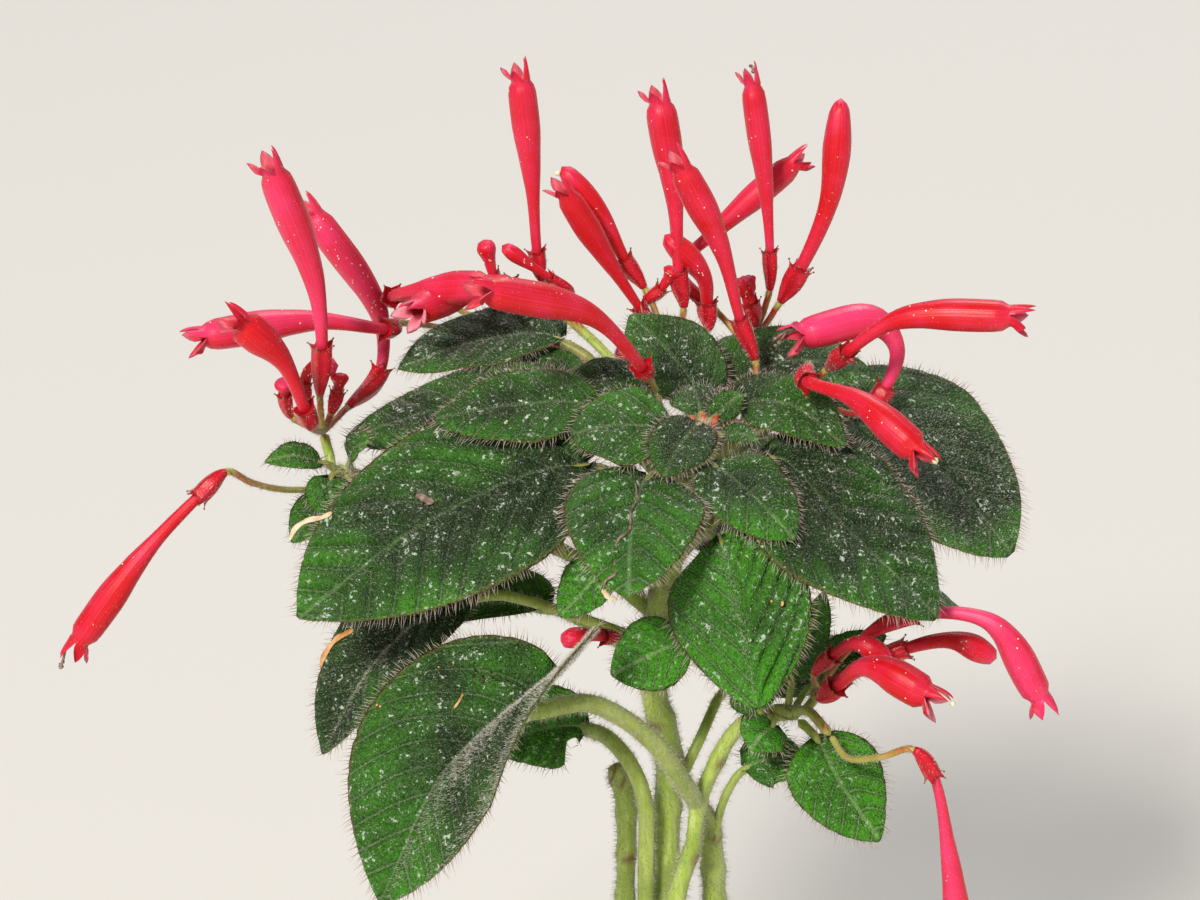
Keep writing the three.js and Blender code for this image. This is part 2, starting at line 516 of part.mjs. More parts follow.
function headShape({ stem, blooms }, cutters) {
  const line = stem.map((p) => (typeof p[0] === 'string' ? stemPoint(...p) : p));
  const hub = line[line.length - 1];
  const parts = blooms.map((bloom) => bloomShape({ ...bloom, stalk: [hub, ...bloom.stalk] }));
  parts.push(tube(line, [HEAD_STEM_RADIUS, HEAD_STEM_RADIUS], LOBES));
  return fuse(parts, cutters);
}

// Small leaves on the side shoots and in the crown, fused to what they grow on
const SHOOT_LEAVES = {
  left: [
    { root: [-66, 3, 234], base: [-70, -1, 238], mid: [-75, -3, 240], tip: [-81, -4, 239],
      width: 8, faces: [0, -0.4, 0.9] },
    { root: [-64, 3, 233], base: [-64.5, 0, 238], mid: [-63, -2.5, 241.5], tip: [-60, -5, 243.5],
      width: 9, faces: [0, -0.6, 0.8] },
    { root: [-66, 3, 234], base: [-68, -2, 235], mid: [-68, -5, 232], tip: [-67, -6, 228],
      width: 10, faces: [0, -0.8, 0.6] },
    { root: [-60, 4, 231], base: [-67, -1, 229], mid: [-72, -3, 227], tip: [-76, -5, 222],
      width: 10, faces: [-0.3, -0.7, 0.6] },
  ],
  right: [
    { root: [20, -6, 185], base: [21, -10.5, 184.5], mid: [18.5, -13, 183.5], tip: [16, -15, 181],
      width: 11, faces: [0, -0.8, 0.6] },
    { root: [24, -7, 186], base: [25, -5, 192], mid: [28, -5, 201], tip: [31, -6, 212],
      width: 9, faces: [0.3, -0.9, 0.2] },
    { root: [25, -7, 186], base: [29, -3, 190], mid: [36, -2, 196], tip: [44, -3, 201],
      width: 10, faces: [0, -0.7, 0.7] },
    { root: [19, -6, 184], base: [18, -11, 188], mid: [16, -14, 194], tip: [13, -17, 200],
      width: 10, faces: [0, -0.9, 0.4] },
  ],
  crown: [
    { root: [6, -10, 247], base: [5, -15, 251], mid: [1, -23, 249], tip: [-2, -29, 245],
      width: 13, faces: [0, -0.5, 0.85] },
    { root: [6, -10, 247], base: [5.6, -7, 250.5], mid: [4.9, -3, 252.3], tip: [4.1, 1, 253.5],
      width: 11, faces: [0, -0.7, 0.7] },
    { root: [6, -10, 246.5], base: [9.5, -12, 247.7], mid: [13, -13, 248.3], tip: [17, -14, 247],
      width: 5, faces: [0, -0.5, 0.85] },
    { root: [6, -10, 247], base: [8, -9, 250], mid: [11, -8, 252.5], tip: [14, -7, 254.5],
      width: 6, faces: [0.2, -0.7, 0.7] },
  ],
};

function shootLeaves(name) {
  return SHOOT_LEAVES[name].map((leaf) => leafShape({ ...leaf, fold: [8, 8], petiole: 0.7 }));
}

// Pot, soil and root stock. The pot's inner radius widens from its floor to its rim.
function potInnerRadius(height) {
  const share = (height - POT_FLOOR) / (POT_HEIGHT - POT_FLOOR);
  return lerp(POT_BASE_RADIUS - POT_WALL, POT_RIM_RADIUS - RIM_STEP - POT_WALL, share);
}

function potShape() {
  const underRim = POT_HEIGHT - RIM_HEIGHT;
  const profile = [
    [0, 0], [POT_BASE_RADIUS, 0], [POT_RIM_RADIUS - RIM_STEP, underRim], [POT_RIM_RADIUS, underRim],
    [POT_RIM_RADIUS, POT_HEIGHT], [potInnerRadius(POT_HEIGHT), POT_HEIGHT],
    [potInnerRadius(POT_FLOOR), POT_FLOOR], [0, POT_FLOOR],
  ];
  const body = new THREE.LatheGeometry(profile.map((p) => new THREE.Vector2(...p)), POT_SIDES);
  body.rotateX(Math.PI / 2);
  const holes = Array.from({ length: DRAIN_HOLES }, (_, i) => {
    const angle = (2 * Math.PI * i) / DRAIN_HOLES;
    const hole = new THREE.CylinderGeometry(DRAIN_HOLE_RADIUS, DRAIN_HOLE_RADIUS, 4 * POT_FLOOR, 16);
    hole.rotateX(Math.PI / 2);
    hole.translate(DRAIN_CIRCLE * Math.cos(angle), DRAIN_CIRCLE * Math.sin(angle), 0);
    return hole;
  });
  return fuse([body], holes);
}

function soilShape(room) {
  const bottom = POT_FLOOR + CLEARANCE;
  const edge = potInnerRadius(SOIL_LEVEL) - CLEARANCE;
  const profile = [
    [0, bottom], [potInnerRadius(bottom) - CLEARANCE, bottom], [edge, SOIL_LEVEL],
    [edge * 0.6, SOIL_LEVEL + SOIL_CROWN * 0.8], [0, SOIL_LEVEL + SOIL_CROWN],
  ];
  const body = new THREE.LatheGeometry(profile.map((p) => new THREE.Vector2(...p)), POT_SIDES);
  body.rotateX(Math.PI / 2);
  return fuse([body], [room]);
}

const tuber = ellipsoid(TUBER_CENTRE, TUBER_RADII);
const tuberRoom = ellipsoid(TUBER_CENTRE, TUBER_RADII.map((radius) => radius + CLEARANCE));
const knob = ellipsoid(CROWN_CENTRE, CROWN_RADII, 8, 6);
const stemRooms = Object.fromEntries(Object.keys(STEMS).map((name) => [name, stemTube(name, CLEARANCE)]));

addPiece('pot', potShape(), POT_BROWN);
addPiece('soil', soilShape(tuberRoom), SOIL_DARK);
addPiece('tuber', fuse([tuber]), TUBER_BROWN);
addPiece('stem_main', fuse([stemTube('main')], [tuberRoom]), STEM_GREEN);
addPiece('stem_second', fuse([stemTube('second')], [tuberRoom]), STEM_GREEN);
addPiece('stem_stub', fuse([stemTube('stub')], [tuberRoom]), STEM_GREEN);
addPiece('shoot_right', fuse([stemTube('right'), ...shootLeaves('right')], [tuberRoom]), STEM_GREEN);
addPiece('shoot_left', fuse([stemTube('left'), ...shootLeaves('left')], [stemRooms.main]), STEM_GREEN);
addPiece('crown', fuse([knob, ...shootLeaves('crown')], [stemRooms.main]), LEAF_GREEN);

const everyStem = [tuberRoom, ...Object.values(stemRooms)];
[...LEAVES, ...REAR_LEAVES.map(rearLeaf)].forEach((leaf) => {
  addPiece(leaf.name, fuse([leafShape(leaf)], everyStem), LEAF_GREEN);
});
HEADS.forEach((head) => addPiece(head.name, headShape(head, everyStem), FLOWER_RED));

export default plant;
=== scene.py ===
# Potted sinningia lineata: the looks of the plant, its flowers and its pot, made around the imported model.
# Sizes are in millimetres until a finished mesh is scaled to metres. The show side faces -Y.

import math

import bmesh
import bpy
import numpy as np
from mathutils import Matrix, Vector, noise


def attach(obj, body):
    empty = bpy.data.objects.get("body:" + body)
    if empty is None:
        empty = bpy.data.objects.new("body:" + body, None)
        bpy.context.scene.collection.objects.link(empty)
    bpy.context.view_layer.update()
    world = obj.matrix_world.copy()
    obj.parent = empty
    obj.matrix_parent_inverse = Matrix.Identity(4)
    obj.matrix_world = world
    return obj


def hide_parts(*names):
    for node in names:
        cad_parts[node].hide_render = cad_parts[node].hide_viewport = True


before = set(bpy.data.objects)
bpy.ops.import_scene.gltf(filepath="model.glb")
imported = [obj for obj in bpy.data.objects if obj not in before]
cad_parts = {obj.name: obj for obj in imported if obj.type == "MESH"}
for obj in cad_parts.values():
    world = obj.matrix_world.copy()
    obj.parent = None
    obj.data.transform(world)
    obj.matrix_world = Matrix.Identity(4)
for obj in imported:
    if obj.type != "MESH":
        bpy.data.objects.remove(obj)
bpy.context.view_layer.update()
print("frame loaded with", len(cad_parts), "nodes")

mm = 0.001

# Where each kind of piece starts its own run of random numbers
seeds = {"stem": 40, "shootLeaf": 60, "crown": 71, "crownLeaf": 80, "flower": 200, "soil": 300, "litter": 400}

# Camera: straight at the show side, from 20 degrees above
cameraSettings = {"target": (-14.2, 0, 240), "distance": 667, "elevation": 20, "lens": 100, "sensor": 36}


def placeCamera():
    settings = cameraSettings
    rise = math.radians(settings["elevation"])
    back = Vector((0, -math.cos(rise), math.sin(rise))) * settings["distance"]
    camera = bpy.data.objects.new("camera", bpy.data.cameras.new("camera"))
    camera.location = (Vector(settings["target"]) + back) * mm
    camera.rotation_euler = (math.pi / 2 - rise, 0, 0)
    camera.data.lens = settings["lens"]
    camera.data.sensor_width = settings["sensor"]
    bpy.context.scene.collection.objects.link(camera)
    bpy.context.scene.camera = camera


placeCamera()


# Lines, sections and sheets
def unit(vectors):
    return vectors / np.maximum(np.linalg.norm(vectors, axis=-1, keepdims=True), 1e-9)


def smoothLine(points):
    # a bent line through each point, read at places from 0 to 1 that count the points evenly
    knots = np.array(points, float)
    padded = np.vstack([2 * knots[0] - knots[1], knots, 2 * knots[-1] - knots[-2]])

    def pointAt(places):
        spot = np.clip(np.atleast_1d(places), 0, 1) * (len(knots) - 1)
        first = np.minimum(spot.astype(int), len(knots) - 2)
        share = (spot - first)[:, None]
        before, start, end, after = (padded[first + k] for k in range(4))
        pairs = ((before, start), (start, end), (end, after))
        gap0, gap1, gap2 = (np.sqrt(np.linalg.norm(b - a, axis=1))[:, None] for a, b in pairs)
        leave = ((start - before) / gap0 - (end - before) / (gap0 + gap1)) * gap1 + (end - start)
        arrive = (end - start) - ((after - start) / (gap1 + gap2) - (after - end) / gap2) * gap1
        square = -3 * start + 3 * end - 2 * leave - arrive
        cube = 2 * start - 2 * end + leave + arrive
        return start + leave * share + square * share**2 + cube * share**3

    return pointAt


def headingOf(line, places):
    places = np.atleast_1d(places)
    return unit(line(np.minimum(places + 1e-4, 1)) - line(np.maximum(places - 1e-4, 0)))


def sectionAt(line, places, upper):
    # centre, way along, upper side and left side of a line's sections
    along = headingOf(line, places)
    upper = np.broadcast_to(np.array(upper, float), along.shape)
    up = unit(upper - along * (along * upper).sum(1, keepdims=True))
    return line(places), along, up, np.cross(along, up)


def evenPlaces(line, count):
    # places that lie evenly along the line's length
    fine = np.linspace(0, 1, 240)
    steps = np.linalg.norm(np.diff(line(fine), axis=0), axis=1)
    run = np.concatenate([[0], np.cumsum(steps)])
    return np.interp(np.linspace(0, run[-1], count), run, fine), run[-1]


def newPiece():
    bm = bmesh.new()
    bm.verts.layers.float_vector.new("place")
    bm.verts.layers.float.new("tone")
    return bm


def addSheet(bm, columns, rows, shape, material=0, turned=False, tone=0.0):
    # a grid bent by shape(u, v), which gives the points, and what the material reads at them
    made = bmesh.ops.create_grid(bm, x_segments=columns, y_segments=rows, size=0.5)["verts"]
    flat = np.array([vert.co for vert in made]) + 0.5
    points, places = shape(flat[:, 0], flat[:, 1])
    tones = np.broadcast_to(tone(flat[:, 0], flat[:, 1]) if callable(tone) else tone, len(made))
    placeLayer = bm.verts.layers.float_vector["place"]
    toneLayer = bm.verts.layers.float["tone"]
    for vert, point, place, shade in zip(made, points.tolist(), places.tolist(), tones.tolist()):
        vert.co = point
        vert[placeLayer] = place
        vert[toneLayer] = shade
    faces = {face for vert in made for face in vert.link_faces}
    for face in faces:
        face.material_index = material
        face.smooth = True
    if turned:
        bmesh.ops.reverse_faces(bm, faces=list(faces))
    bmesh.ops.remove_doubles(bm, verts=made, dist=1e-4)


def addTube(bm, line, radiusAt, sides, rings, material=0, tone=0.0, end=1.0, even=True):
    # a round tube with closed ends. radiusAt(angle, share) gives its radius, and end is where on the line
    # it stops. What comes back gives the points, the way out and the way along at angles and shares
    places = end * evenPlaces(line, rings + 1)[0] if even else np.linspace(0, end, rings + 1)
    along = headingOf(line, places)
    side = [unit(np.cross(along[0], (0.3, 0.5, 0.8)))]
    for heading in along[1:]:
        side.append(unit(side[-1] - heading * (side[-1] @ heading)))
    side = np.array(side)
    across = np.cross(along, side)
    centres = line(places)

    def shape(u, v):
        row = np.rint(v * rings).astype(int)
        angle = 2 * math.pi * u
        radius = radiusAt(angle, v) * ((row > 0) & (row < rings))
        out = side[row] * np.cos(angle)[:, None] + across[row] * np.sin(angle)[:, None]
        points = centres[row] + out * radius[:, None]
        return points, np.stack([np.cos(angle), np.sin(angle), v], 1)

    addSheet(bm, sides, rings, shape, material, False, tone)

    def surface(angle, share):
        index, rows = share * rings, range(rings + 1)
        take = lambda values: np.stack([np.interp(index, rows, values[:, k]) for k in range(3)], 1)
        out = unit(take(side) * np.cos(angle)[:, None] + take(across) * np.sin(angle)[:, None])
        return take(centres) + out * radiusAt(angle, share)[:, None], out, take(along)

    return surface


# Hairs: thin three-sided spikes, each a copy of one of these two
def spikeShape(cuts):
    bm = bmesh.new()
    lift = Matrix.Translation((0, 0, 0.5))
    bmesh.ops.create_cone(bm, cap_ends=True, segments=3, radius1=1, radius2=0, depth=1, matrix=lift)
    bmesh.ops.remove_doubles(bm, verts=bm.verts, dist=1e-4)
    for cut in cuts:
        around = bm.verts[:] + bm.edges[:] + bm.faces[:]
        bmesh.ops.bisect_plane(bm, geom=around, plane_co=(0, 0, cut), plane_no=(0, 0, 1))
    bmesh.ops.triangulate(bm, faces=bm.faces)
    bmesh.ops.recalc_face_normals(bm, faces=bm.faces)
    bm.verts.index_update()
    points = np.array([vert.co for vert in bm.verts])
    faces = np.array([[vert.index for vert in face.verts] for face in bm.faces])
    bm.free()
    return points, faces


def grainShape():
    bm = bmesh.new()
    bmesh.ops.create_icosphere(bm, subdivisions=1, radius=1)
    bm.verts.index_update()
    points = np.array([vert.co for vert in bm.verts])
    faces = np.array([[vert.index for vert in face.verts] for face in bm.faces])
    bm.free()
    return points, faces


straightSpike = spikeShape([])
bentSpike = spikeShape([0.45])
roundGrain = grainShape()


def addCopies(bm, points, faces, tones, material):
    # points holds every copy's own vertices, all with the same faces
    copies, size = points.shape[:2]
    every = (faces[None] + size * np.arange(copies)[:, None, None]).reshape(-1, 3)
    mesh = bpy.data.meshes.new("copies")
    mesh.from_pydata(points.reshape(-1, 3).tolist(), [], every.tolist())
    firstVert, firstFace = len(bm.verts), len(bm.faces)
    bm.from_mesh(mesh)
    bpy.data.meshes.remove(mesh)
    bm.verts.ensure_lookup_table()
    bm.faces.ensure_lookup_table()
    toneLayer = bm.verts.layers.float["tone"]
    for vert, shade in zip(bm.verts[firstVert:], tones.reshape(-1).tolist()):
        vert[toneLayer] = shade
    for face in bm.faces[firstFace:]:
        face.material_index = material
        face.smooth = True


def plantHairs(bm, rng, roots, ways, lengths, radius, material, bend=0.0, spike=straightSpike):
    # one spike from each root along its way. bend is how far its tip strays, as a share of its length
    template, faces = spike
    count = len(roots)
    side = unit(np.cross(ways, rng.normal(size=(count, 3))))
    across = np.cross(ways, side)
    x, y, z = (template[None, :, k, None] for k in range(3))
    stray, cross = rng.uniform(-1, 1, (count, 1)), rng.uniform(-1, 1, (count, 1))
    curl = (side * stray + across * cross - [0, 0, 0.4]) * bend
    size = np.broadcast_to(lengths, count)[:, None, None]
    points = roots[:, None] + (side[:, None] * x + across[:, None] * y) * radius
    points = points + ways[:, None] * z * size + curl[:, None] * z**2 * size
    tones = np.clip(template[None, :, 2] * 0.75 + rng.uniform(0, 0.35, (count, 1)), 0, 1)
    addCopies(bm, points, faces, tones, material)


def strewGrains(bm, rng, centres, sizes, material, squash=0.6):
    # one lumpy grain at each centre, flattened by chance down to the given share
    template, faces = roundGrain
    count = len(centres)
    turn = unit(rng.normal(size=(count, 3)))
    side = unit(np.cross(turn, rng.normal(size=(count, 3))))
    across = np.cross(turn, side)
    lump = template[None] * rng.uniform(0.7, 1.25, (count, len(template), 1))
    lump = lump * np.broadcast_to(sizes, count)[:, None, None] * rng.uniform(squash, 1, (count, 1, 3))
    points = side[:, None] * lump[..., :1] + across[:, None] * lump[..., 1:2] + turn[:, None] * lump[..., 2:]
    tones = np.broadcast_to(rng.uniform(0, 1, (count, 1)), (count, len(template)))
    addCopies(bm, centres[:, None] + points, faces, tones, material)


def finishPiece(name, bm, materials, slot, *nodes):
    bmesh.ops.scale(bm, vec=(mm, mm, mm), verts=bm.verts)
    mesh = bpy.data.meshes.new(name)
    bm.to_mesh(mesh)
    bm.free()
    for material in materials:
        mesh.materials.append(material)
    piece = bpy.data.objects.new(name, mesh)
    bpy.context.scene.collection.objects.link(piece)
    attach(piece, "root")
    if nodes:
        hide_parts(*nodes)
    return piece


# Materials
def colourOf(hexCode):
    # sRGB hex to the linear colour that Blender wants
    channels = [int(hexCode[k : k + 2], 16) / 255 for k in (1, 3, 5)]
    return (*[c / 12.92 if c <= 0.04045 else ((c + 0.055) / 1.055) ** 2.4 for c in channels], 1)


def addNode(tree, kind, sockets=None, output=0, **options):
    # sockets gives each input a plain value or another node's output, and one output comes back
    node = tree.nodes.new("ShaderNode" + kind)
    for option, setting in options.items():
        setattr(node, option, setting)
    for socket, setting in (sockets or {}).items():
        if isinstance(setting, bpy.types.NodeSocket):
            tree.links.new(setting, node.inputs[socket])
        else:
            node.inputs[socket].default_value = setting
    return node.outputs[output]


# A Mix node's inputs are 0 for the share and 6 and 7 for the two colours. A MapRange's are 0 for the
# number, 1 and 2 for what it runs from and to, and 3 and 4 for what these become. A noise's Scale is the
# count of its grains along a metre.
colourMix = {"data_type": "RGBA", "output": 2}


def newMaterial(name):
    material = bpy.data.materials.new(name)
    material.use_nodes = True
    tree = material.node_tree
    return material, tree, tree.nodes["Principled BSDF"]


def setShader(shader, **settings):
    # a plain value is set on the shader's own socket, and a node's output is linked to it
    for socket, setting in settings.items():
        socket = shader.inputs[socket.replace("_", " ")]
        if isinstance(setting, bpy.types.NodeSocket):
            shader.id_data.links.new(setting, socket)
        else:
            socket.default_value = setting


# Where a leaf's pattern lies: "place" holds the count of side veins, the distance from the midrib in
# millimetres, and how near the margin a point is. "tone" is 0 on an old dull leaf and 1 on a fresh one.
leafLook = {
    "old": "#182c10",
    "fresh": "#43900e",
    # furrow is the colour of painted shade in the furrows along the side veins and in the fine veins, and
    # also darkens the skin between the hairs' feet
    "furrow": "#0d2608",
    # painted light on the pebble tops
    "litPebbleTop": "#6c9a48",
    "vein": "#8cb070",
    "margin": "#7d7a3a",
    # painted glints: near-white highlights on the wet hair bases
    "paintedGlint": "#d6e2d4",
    "veil": "#849b76",
    "underOld": "#4d6b33",
    "underFresh": "#86a85c",
    "underVein": "#a8bf80",
    "underNet": "#9bb573",
    "pebble": 0.55,  # mm across one pebble of the blade
    "glint": 1.0,  # mm across a painted glint on a wet hair base, with the skin round it
    "down": 0.36,  # mm from one fine hair's foot to the next
    "net": 2.1,  # mm across one mesh of the fine veins
    "patch": 16,  # mm across a lighter or darker patch
    "cluster": 6,  # mm across a patch with more painted glints and a thicker grey veil
    "netBump": 0.15,  # mm that the fine veins lie below the skin
    "pebbleBump": 0.3,  # mm that a pebble stands above it
}


def leafMaterial(name, under=False):
    # Living leaf: a moist skin over pebbled flesh, so each pebble glints. Painted glints, near-white
    # highlights on the wet hair bases, stand in patches along the swellings between the veins; painted light
    # lightens the pebble tops, and painted shade darkens the furrows and the fine veins
    look = leafLook
    material, tree, shader = newMaterial(name)
    space = addNode(tree, "TexCoord", output="Object")
    place = addNode(tree, "Attribute", output="Vector", attribute_name="place")
    tone = addNode(tree, "Attribute", output="Fac", attribute_name="tone")
    clouds = {}
    for size, detail, edgy in (("patch", 3, 0.5), ("glint", 3, 0.65), ("cluster", 2, 0.5), ("down", 1, 0.5)):
        grain = {"Vector": space, "Scale": 1000 / look[size], "Detail": detail, "Roughness": edgy}
        clouds[size] = addNode(tree, "TexNoise", grain)
    veinCount, fromRib, nearMargin = addNode(tree, "SeparateXYZ", {0: place}).node.outputs
    phase = addNode(tree, "Math", {0: veinCount, 1: 0.5}, operation="PINGPONG")
    sideVein = addNode(tree, "MapRange", {0: phase, 1: 0.0, 2: 0.08, 3: 1.0, 4: 0.0})
    midrib = addNode(tree, "MapRange", {0: fromRib, 1: 0.2, 2: 0.65, 3: 1.0, 4: 0.0})
    veins = addNode(tree, "Math", {0: sideVein, 1: midrib}, operation="MAXIMUM")
    pebble = addNode(tree, "TexVoronoi", {"Vector": space, "Scale": 1000 / look["pebble"]}, feature="F1")
    dome = addNode(tree, "MapRange", {0: pebble, 1: 0.05, 2: 0.6, 3: 1.0, 4: 0.0})
    netScale = {"Vector": space, "Scale": 1000 / look["net"]}
    net = addNode(tree, "TexVoronoi", netScale, feature="DISTANCE_TO_EDGE")
    netLine = addNode(tree, "MapRange", {0: net, 1: 0.01, 2: 0.09, 3: 1.0, 4: 0.0})
    patch = addNode(tree, "MapRange", {0: clouds["patch"], 1: 0.35, 2: 0.65, 3: -0.3, 4: 0.3})
    fresh = addNode(tree, "Math", {0: tone, 1: patch}, operation="ADD", use_clamp=True)

    if under:
        young, old = "underFresh", "underOld"
        layers = [(veins, "underVein"), (netLine, "underNet")]
    else:
        # Painted glints, near-white highlights on the wet hair bases: ragged specks, thicker on the swellings
        # and in patches, fewer on young leaves
        crowd = addNode(tree, "MapRange", {0: clouds["cluster"], 1: 0.38, 2: 0.68, 3: 0.0, 4: 0.09})
        swelling = addNode(tree, "MapRange", {0: phase, 1: 0.08, 2: 0.35, 3: -0.03, 4: 0.05})
        likely = addNode(tree, "Math", {0: crowd, 1: swelling}, operation="ADD")
        speck = addNode(tree, "Math", {0: clouds["glint"], 1: likely}, operation="ADD")
        glintSpeck = addNode(tree, "MapRange", {0: speck, 1: 0.688, 2: 0.743, 3: 0.0, 4: 0.82})
        glintByAge = addNode(tree, "MapRange", {0: fresh, 1: 0.35, 3: 1.0, 4: 0.42})
        glintShare = addNode(tree, "Math", {0: glintSpeck, 1: glintByAge}, operation="MULTIPLY")

        # The feet of the fine hairs: a grey veil, with darker skin between them in the colour of the painted
        # shade
        downy = addNode(tree, "Math", {0: clouds["down"], 1: crowd}, operation="ADD")
        veil = addNode(tree, "MapRange", {0: downy, 1: 0.52, 2: 0.76, 3: 0.0, 4: 0.4})
        aged = addNode(tree, "MapRange", {0: fresh, 3: 0.8, 4: 0.3})
        veilShare = addNode(tree, "Math", {0: veil, 1: aged}, operation="MULTIPLY")
        shade = addNode(tree, "MapRange", {0: clouds["down"], 1: 0.3, 2: 0.5, 3: 0.4, 4: 0.0})

        # Painted light on the pebble tops
        lit = addNode(tree, "Math", {0: dome, 1: 0.14}, operation="MULTIPLY")
        # Painted shade in the fine veins and in the furrows along the side veins
        netShare = addNode(tree, "Math", {0: netLine, 1: 0.14}, operation="MULTIPLY")
        furrow = addNode(tree, "MapRange", {0: phase, 1: 0.02, 2: 0.22, 3: 0.65, 4: 0.0})
        bright = addNode(tree, "MapRange", {0: fresh, 3: 0.16, 4: 0.6})
        veinShare = addNode(tree, "Math", {0: veins, 1: bright}, operation="MULTIPLY")
        edge = addNode(tree, "MapRange", {0: nearMargin, 1: 0.94, 2: 1.0, 3: 0.0, 4: 0.6})
        young, old = "fresh", "old"
        layers = [(lit, "litPebbleTop"), (netShare, "furrow"), (furrow, "furrow"), (shade, "furrow"),
                  (veilShare, "veil"), (veinShare, "vein"), (edge, "margin"), (glintShare, "paintedGlint")]
    colour = addNode(tree, "Mix", {0: fresh, 6: colourOf(look[old]), 7: colourOf(look[young])}, **colourMix)
    for share, paint in layers:
        colour = addNode(tree, "Mix", {0: share, 6: colour, 7: colourOf(look[paint])}, **colourMix)

    sunken = addNode(tree, "Math", {0: netLine, 1: sideVein}, operation="MAXIMUM")
    strength = 0.4 if under else 1.0
    bump = addNode(tree, "Bump", {"Height": dome, "Strength": strength, "Distance": look["pebbleBump"] * mm})
    bump = addNode(tree, "Bump", {"Height": sunken, "Normal": bump, "Strength": 0.5,
                                  "Distance": look["netBump"] * mm}, invert=not under)
    rough = addNode(tree, "MapRange", {0: dome, 3: 0.6, 4: 0.2})
    setShader(shader, Base_Color=colour, Normal=bump, Roughness=rough, IOR=1.45, Specular_IOR_Level=0.3)
    setShader(shader, Sheen_Weight=0.03, Sheen_Roughness=0.4, Sheen_Tint=colourOf("#c9c6d2"))
    return material


def hairMaterial(name, root, tip):
    # Plant hair: a clear hollow thread with a coloured foot, so it glints white on its lit side
    material, tree, shader = newMaterial(name)
    tone = addNode(tree, "Attribute", output="Fac", attribute_name="tone")
    colour = addNode(tree, "Mix", {0: tone, 6: colourOf(root), 7: colourOf(tip)}, **colourMix)
    setShader(shader, Base_Color=colour, Roughness=0.3, IOR=1.5)
    return material


def stemMaterial(name, aged):
    # Living stem: watery green rind with streaks 0.9 mm apart that run lengthwise, lighter and darker
    # patches of 9 mm, and a thin waxy gloss
    material, tree, shader = newMaterial(name)
    space = addNode(tree, "TexCoord", output="Object")
    tone = addNode(tree, "Attribute", output="Fac", attribute_name="tone")
    stretch = addNode(tree, "Mapping", {0: space, "Scale": (1, 1, 0.12)})
    streak = addNode(tree, "TexNoise", {"Vector": stretch, "Scale": 1100, "Detail": 2})
    patch = addNode(tree, "TexNoise", {"Vector": space, "Scale": 110, "Detail": 3})
    streakShare = addNode(tree, "MapRange", {0: streak, 1: 0.35, 2: 0.7})
    patchShare = addNode(tree, "MapRange", {0: patch, 1: 0.4, 2: 0.7, 3: 0.0, 4: 0.8})
    greens = {0: streakShare, 6: colourOf("#a8c14b"), 7: colourOf("#c6d77c")}
    colour = addNode(tree, "Mix", greens, **colourMix)
    for share, paint in ((patchShare, "#88a33c"), (tone, aged)):
        colour = addNode(tree, "Mix", {0: share, 6: colour, 7: colourOf(paint)}, **colourMix)
    bump = addNode(tree, "Bump", {"Height": streak, "Strength": 0.5, "Distance": 0.2 * mm})
    setShader(shader, Base_Color=colour, Normal=bump, Roughness=0.42, IOR=1.42)
    setShader(shader, Sheen_Weight=0.15, Sheen_Roughness=0.5)
    return material


def petalMaterial(name, deep, light, gloss):
    # Petal: soft flesh under a skin of tiny round cells, satin in the light, with some fifty fine nerves
    # round the tube and patches of 6 mm. The cells are drawn 0.4 mm wide, coarser than real ones, to show
    material, tree, shader = newMaterial(name)
    space = addNode(tree, "TexCoord", output="Object")
    place = addNode(tree, "Attribute", output="Vector", attribute_name="place")
    tone = addNode(tree, "Attribute", output="Fac", attribute_name="tone")
    cosine, sine, _ = addNode(tree, "SeparateXYZ", {0: place}).node.outputs
    around = addNode(tree, "CombineXYZ", {0: cosine, 1: sine})
    nerve = addNode(tree, "TexNoise", {"Vector": around, "Scale": 9, "Detail": 2})
    patch = addNode(tree, "TexNoise", {"Vector": space, "Scale": 160, "Detail": 3})
    patchShare = addNode(tree, "MapRange", {0: patch, 1: 0.35, 2: 0.7, 3: -0.12, 4: 0.18})
    nerveShare = addNode(tree, "MapRange", {0: nerve, 1: 0.45, 2: 0.7, 3: -0.05, 4: 0.2})
    together = addNode(tree, "Math", {0: patchShare, 1: nerveShare}, operation="ADD")
    share = addNode(tree, "Math", {0: tone, 1: together}, operation="ADD", use_clamp=True)
    colour = addNode(tree, "Mix", {0: share, 6: colourOf(deep), 7: colourOf(light)}, **colourMix)
    cells = addNode(tree, "TexNoise", {"Vector": space, "Scale": 2600, "Detail": 2})
    bump = addNode(tree, "Bump", {"Height": cells, "Strength": 0.35, "Distance": 0.1 * mm})
    bump = addNode(tree, "Bump", {"Height": nerve, "Normal": bump, "Strength": 0.5, "Distance": 0.2 * mm})
    setShader(shader, Base_Color=colour, Normal=bump, Roughness=gloss, IOR=1.4)
    setShader(shader, Sheen_Weight=0.25, Sheen_Roughness=0.5, Sheen_Tint=colourOf("#ff9aa8"))
    setShader(shader, Subsurface_Weight=0.12, Subsurface_Scale=0.002, Subsurface_Radius=(1.0, 0.25, 0.2))
    return material


def plainMaterial(name, first, second, grain, roughness, relief):
    # Withered or earthy matter: two tones in clumps of the given size in millimetres
    material, tree, shader = newMaterial(name)
    space = addNode(tree, "TexCoord", output="Object")
    tone = addNode(tree, "Attribute", output="Fac", attribute_name="tone")
    clump = addNode(tree, "TexNoise", {"Vector": space, "Scale": 1000 / grain, "Detail": 6})
    clumpShare = addNode(tree, "MapRange", {0: clump, 1: 0.35, 2: 0.65, 3: -0.2, 4: 0.8})
    share = addNode(tree, "Math", {0: clumpShare, 1: tone}, operation="ADD", use_clamp=True)
    colour = addNode(tree, "Mix", {0: share, 6: colourOf(first), 7: colourOf(second)}, **colourMix)
    bump = addNode(tree, "Bump", {"Height": clump, "Strength": 0.8, "Distance": relief * mm})
    setShader(shader, Base_Color=colour, Normal=bump, Roughness=roughness, IOR=1.45)
    return material


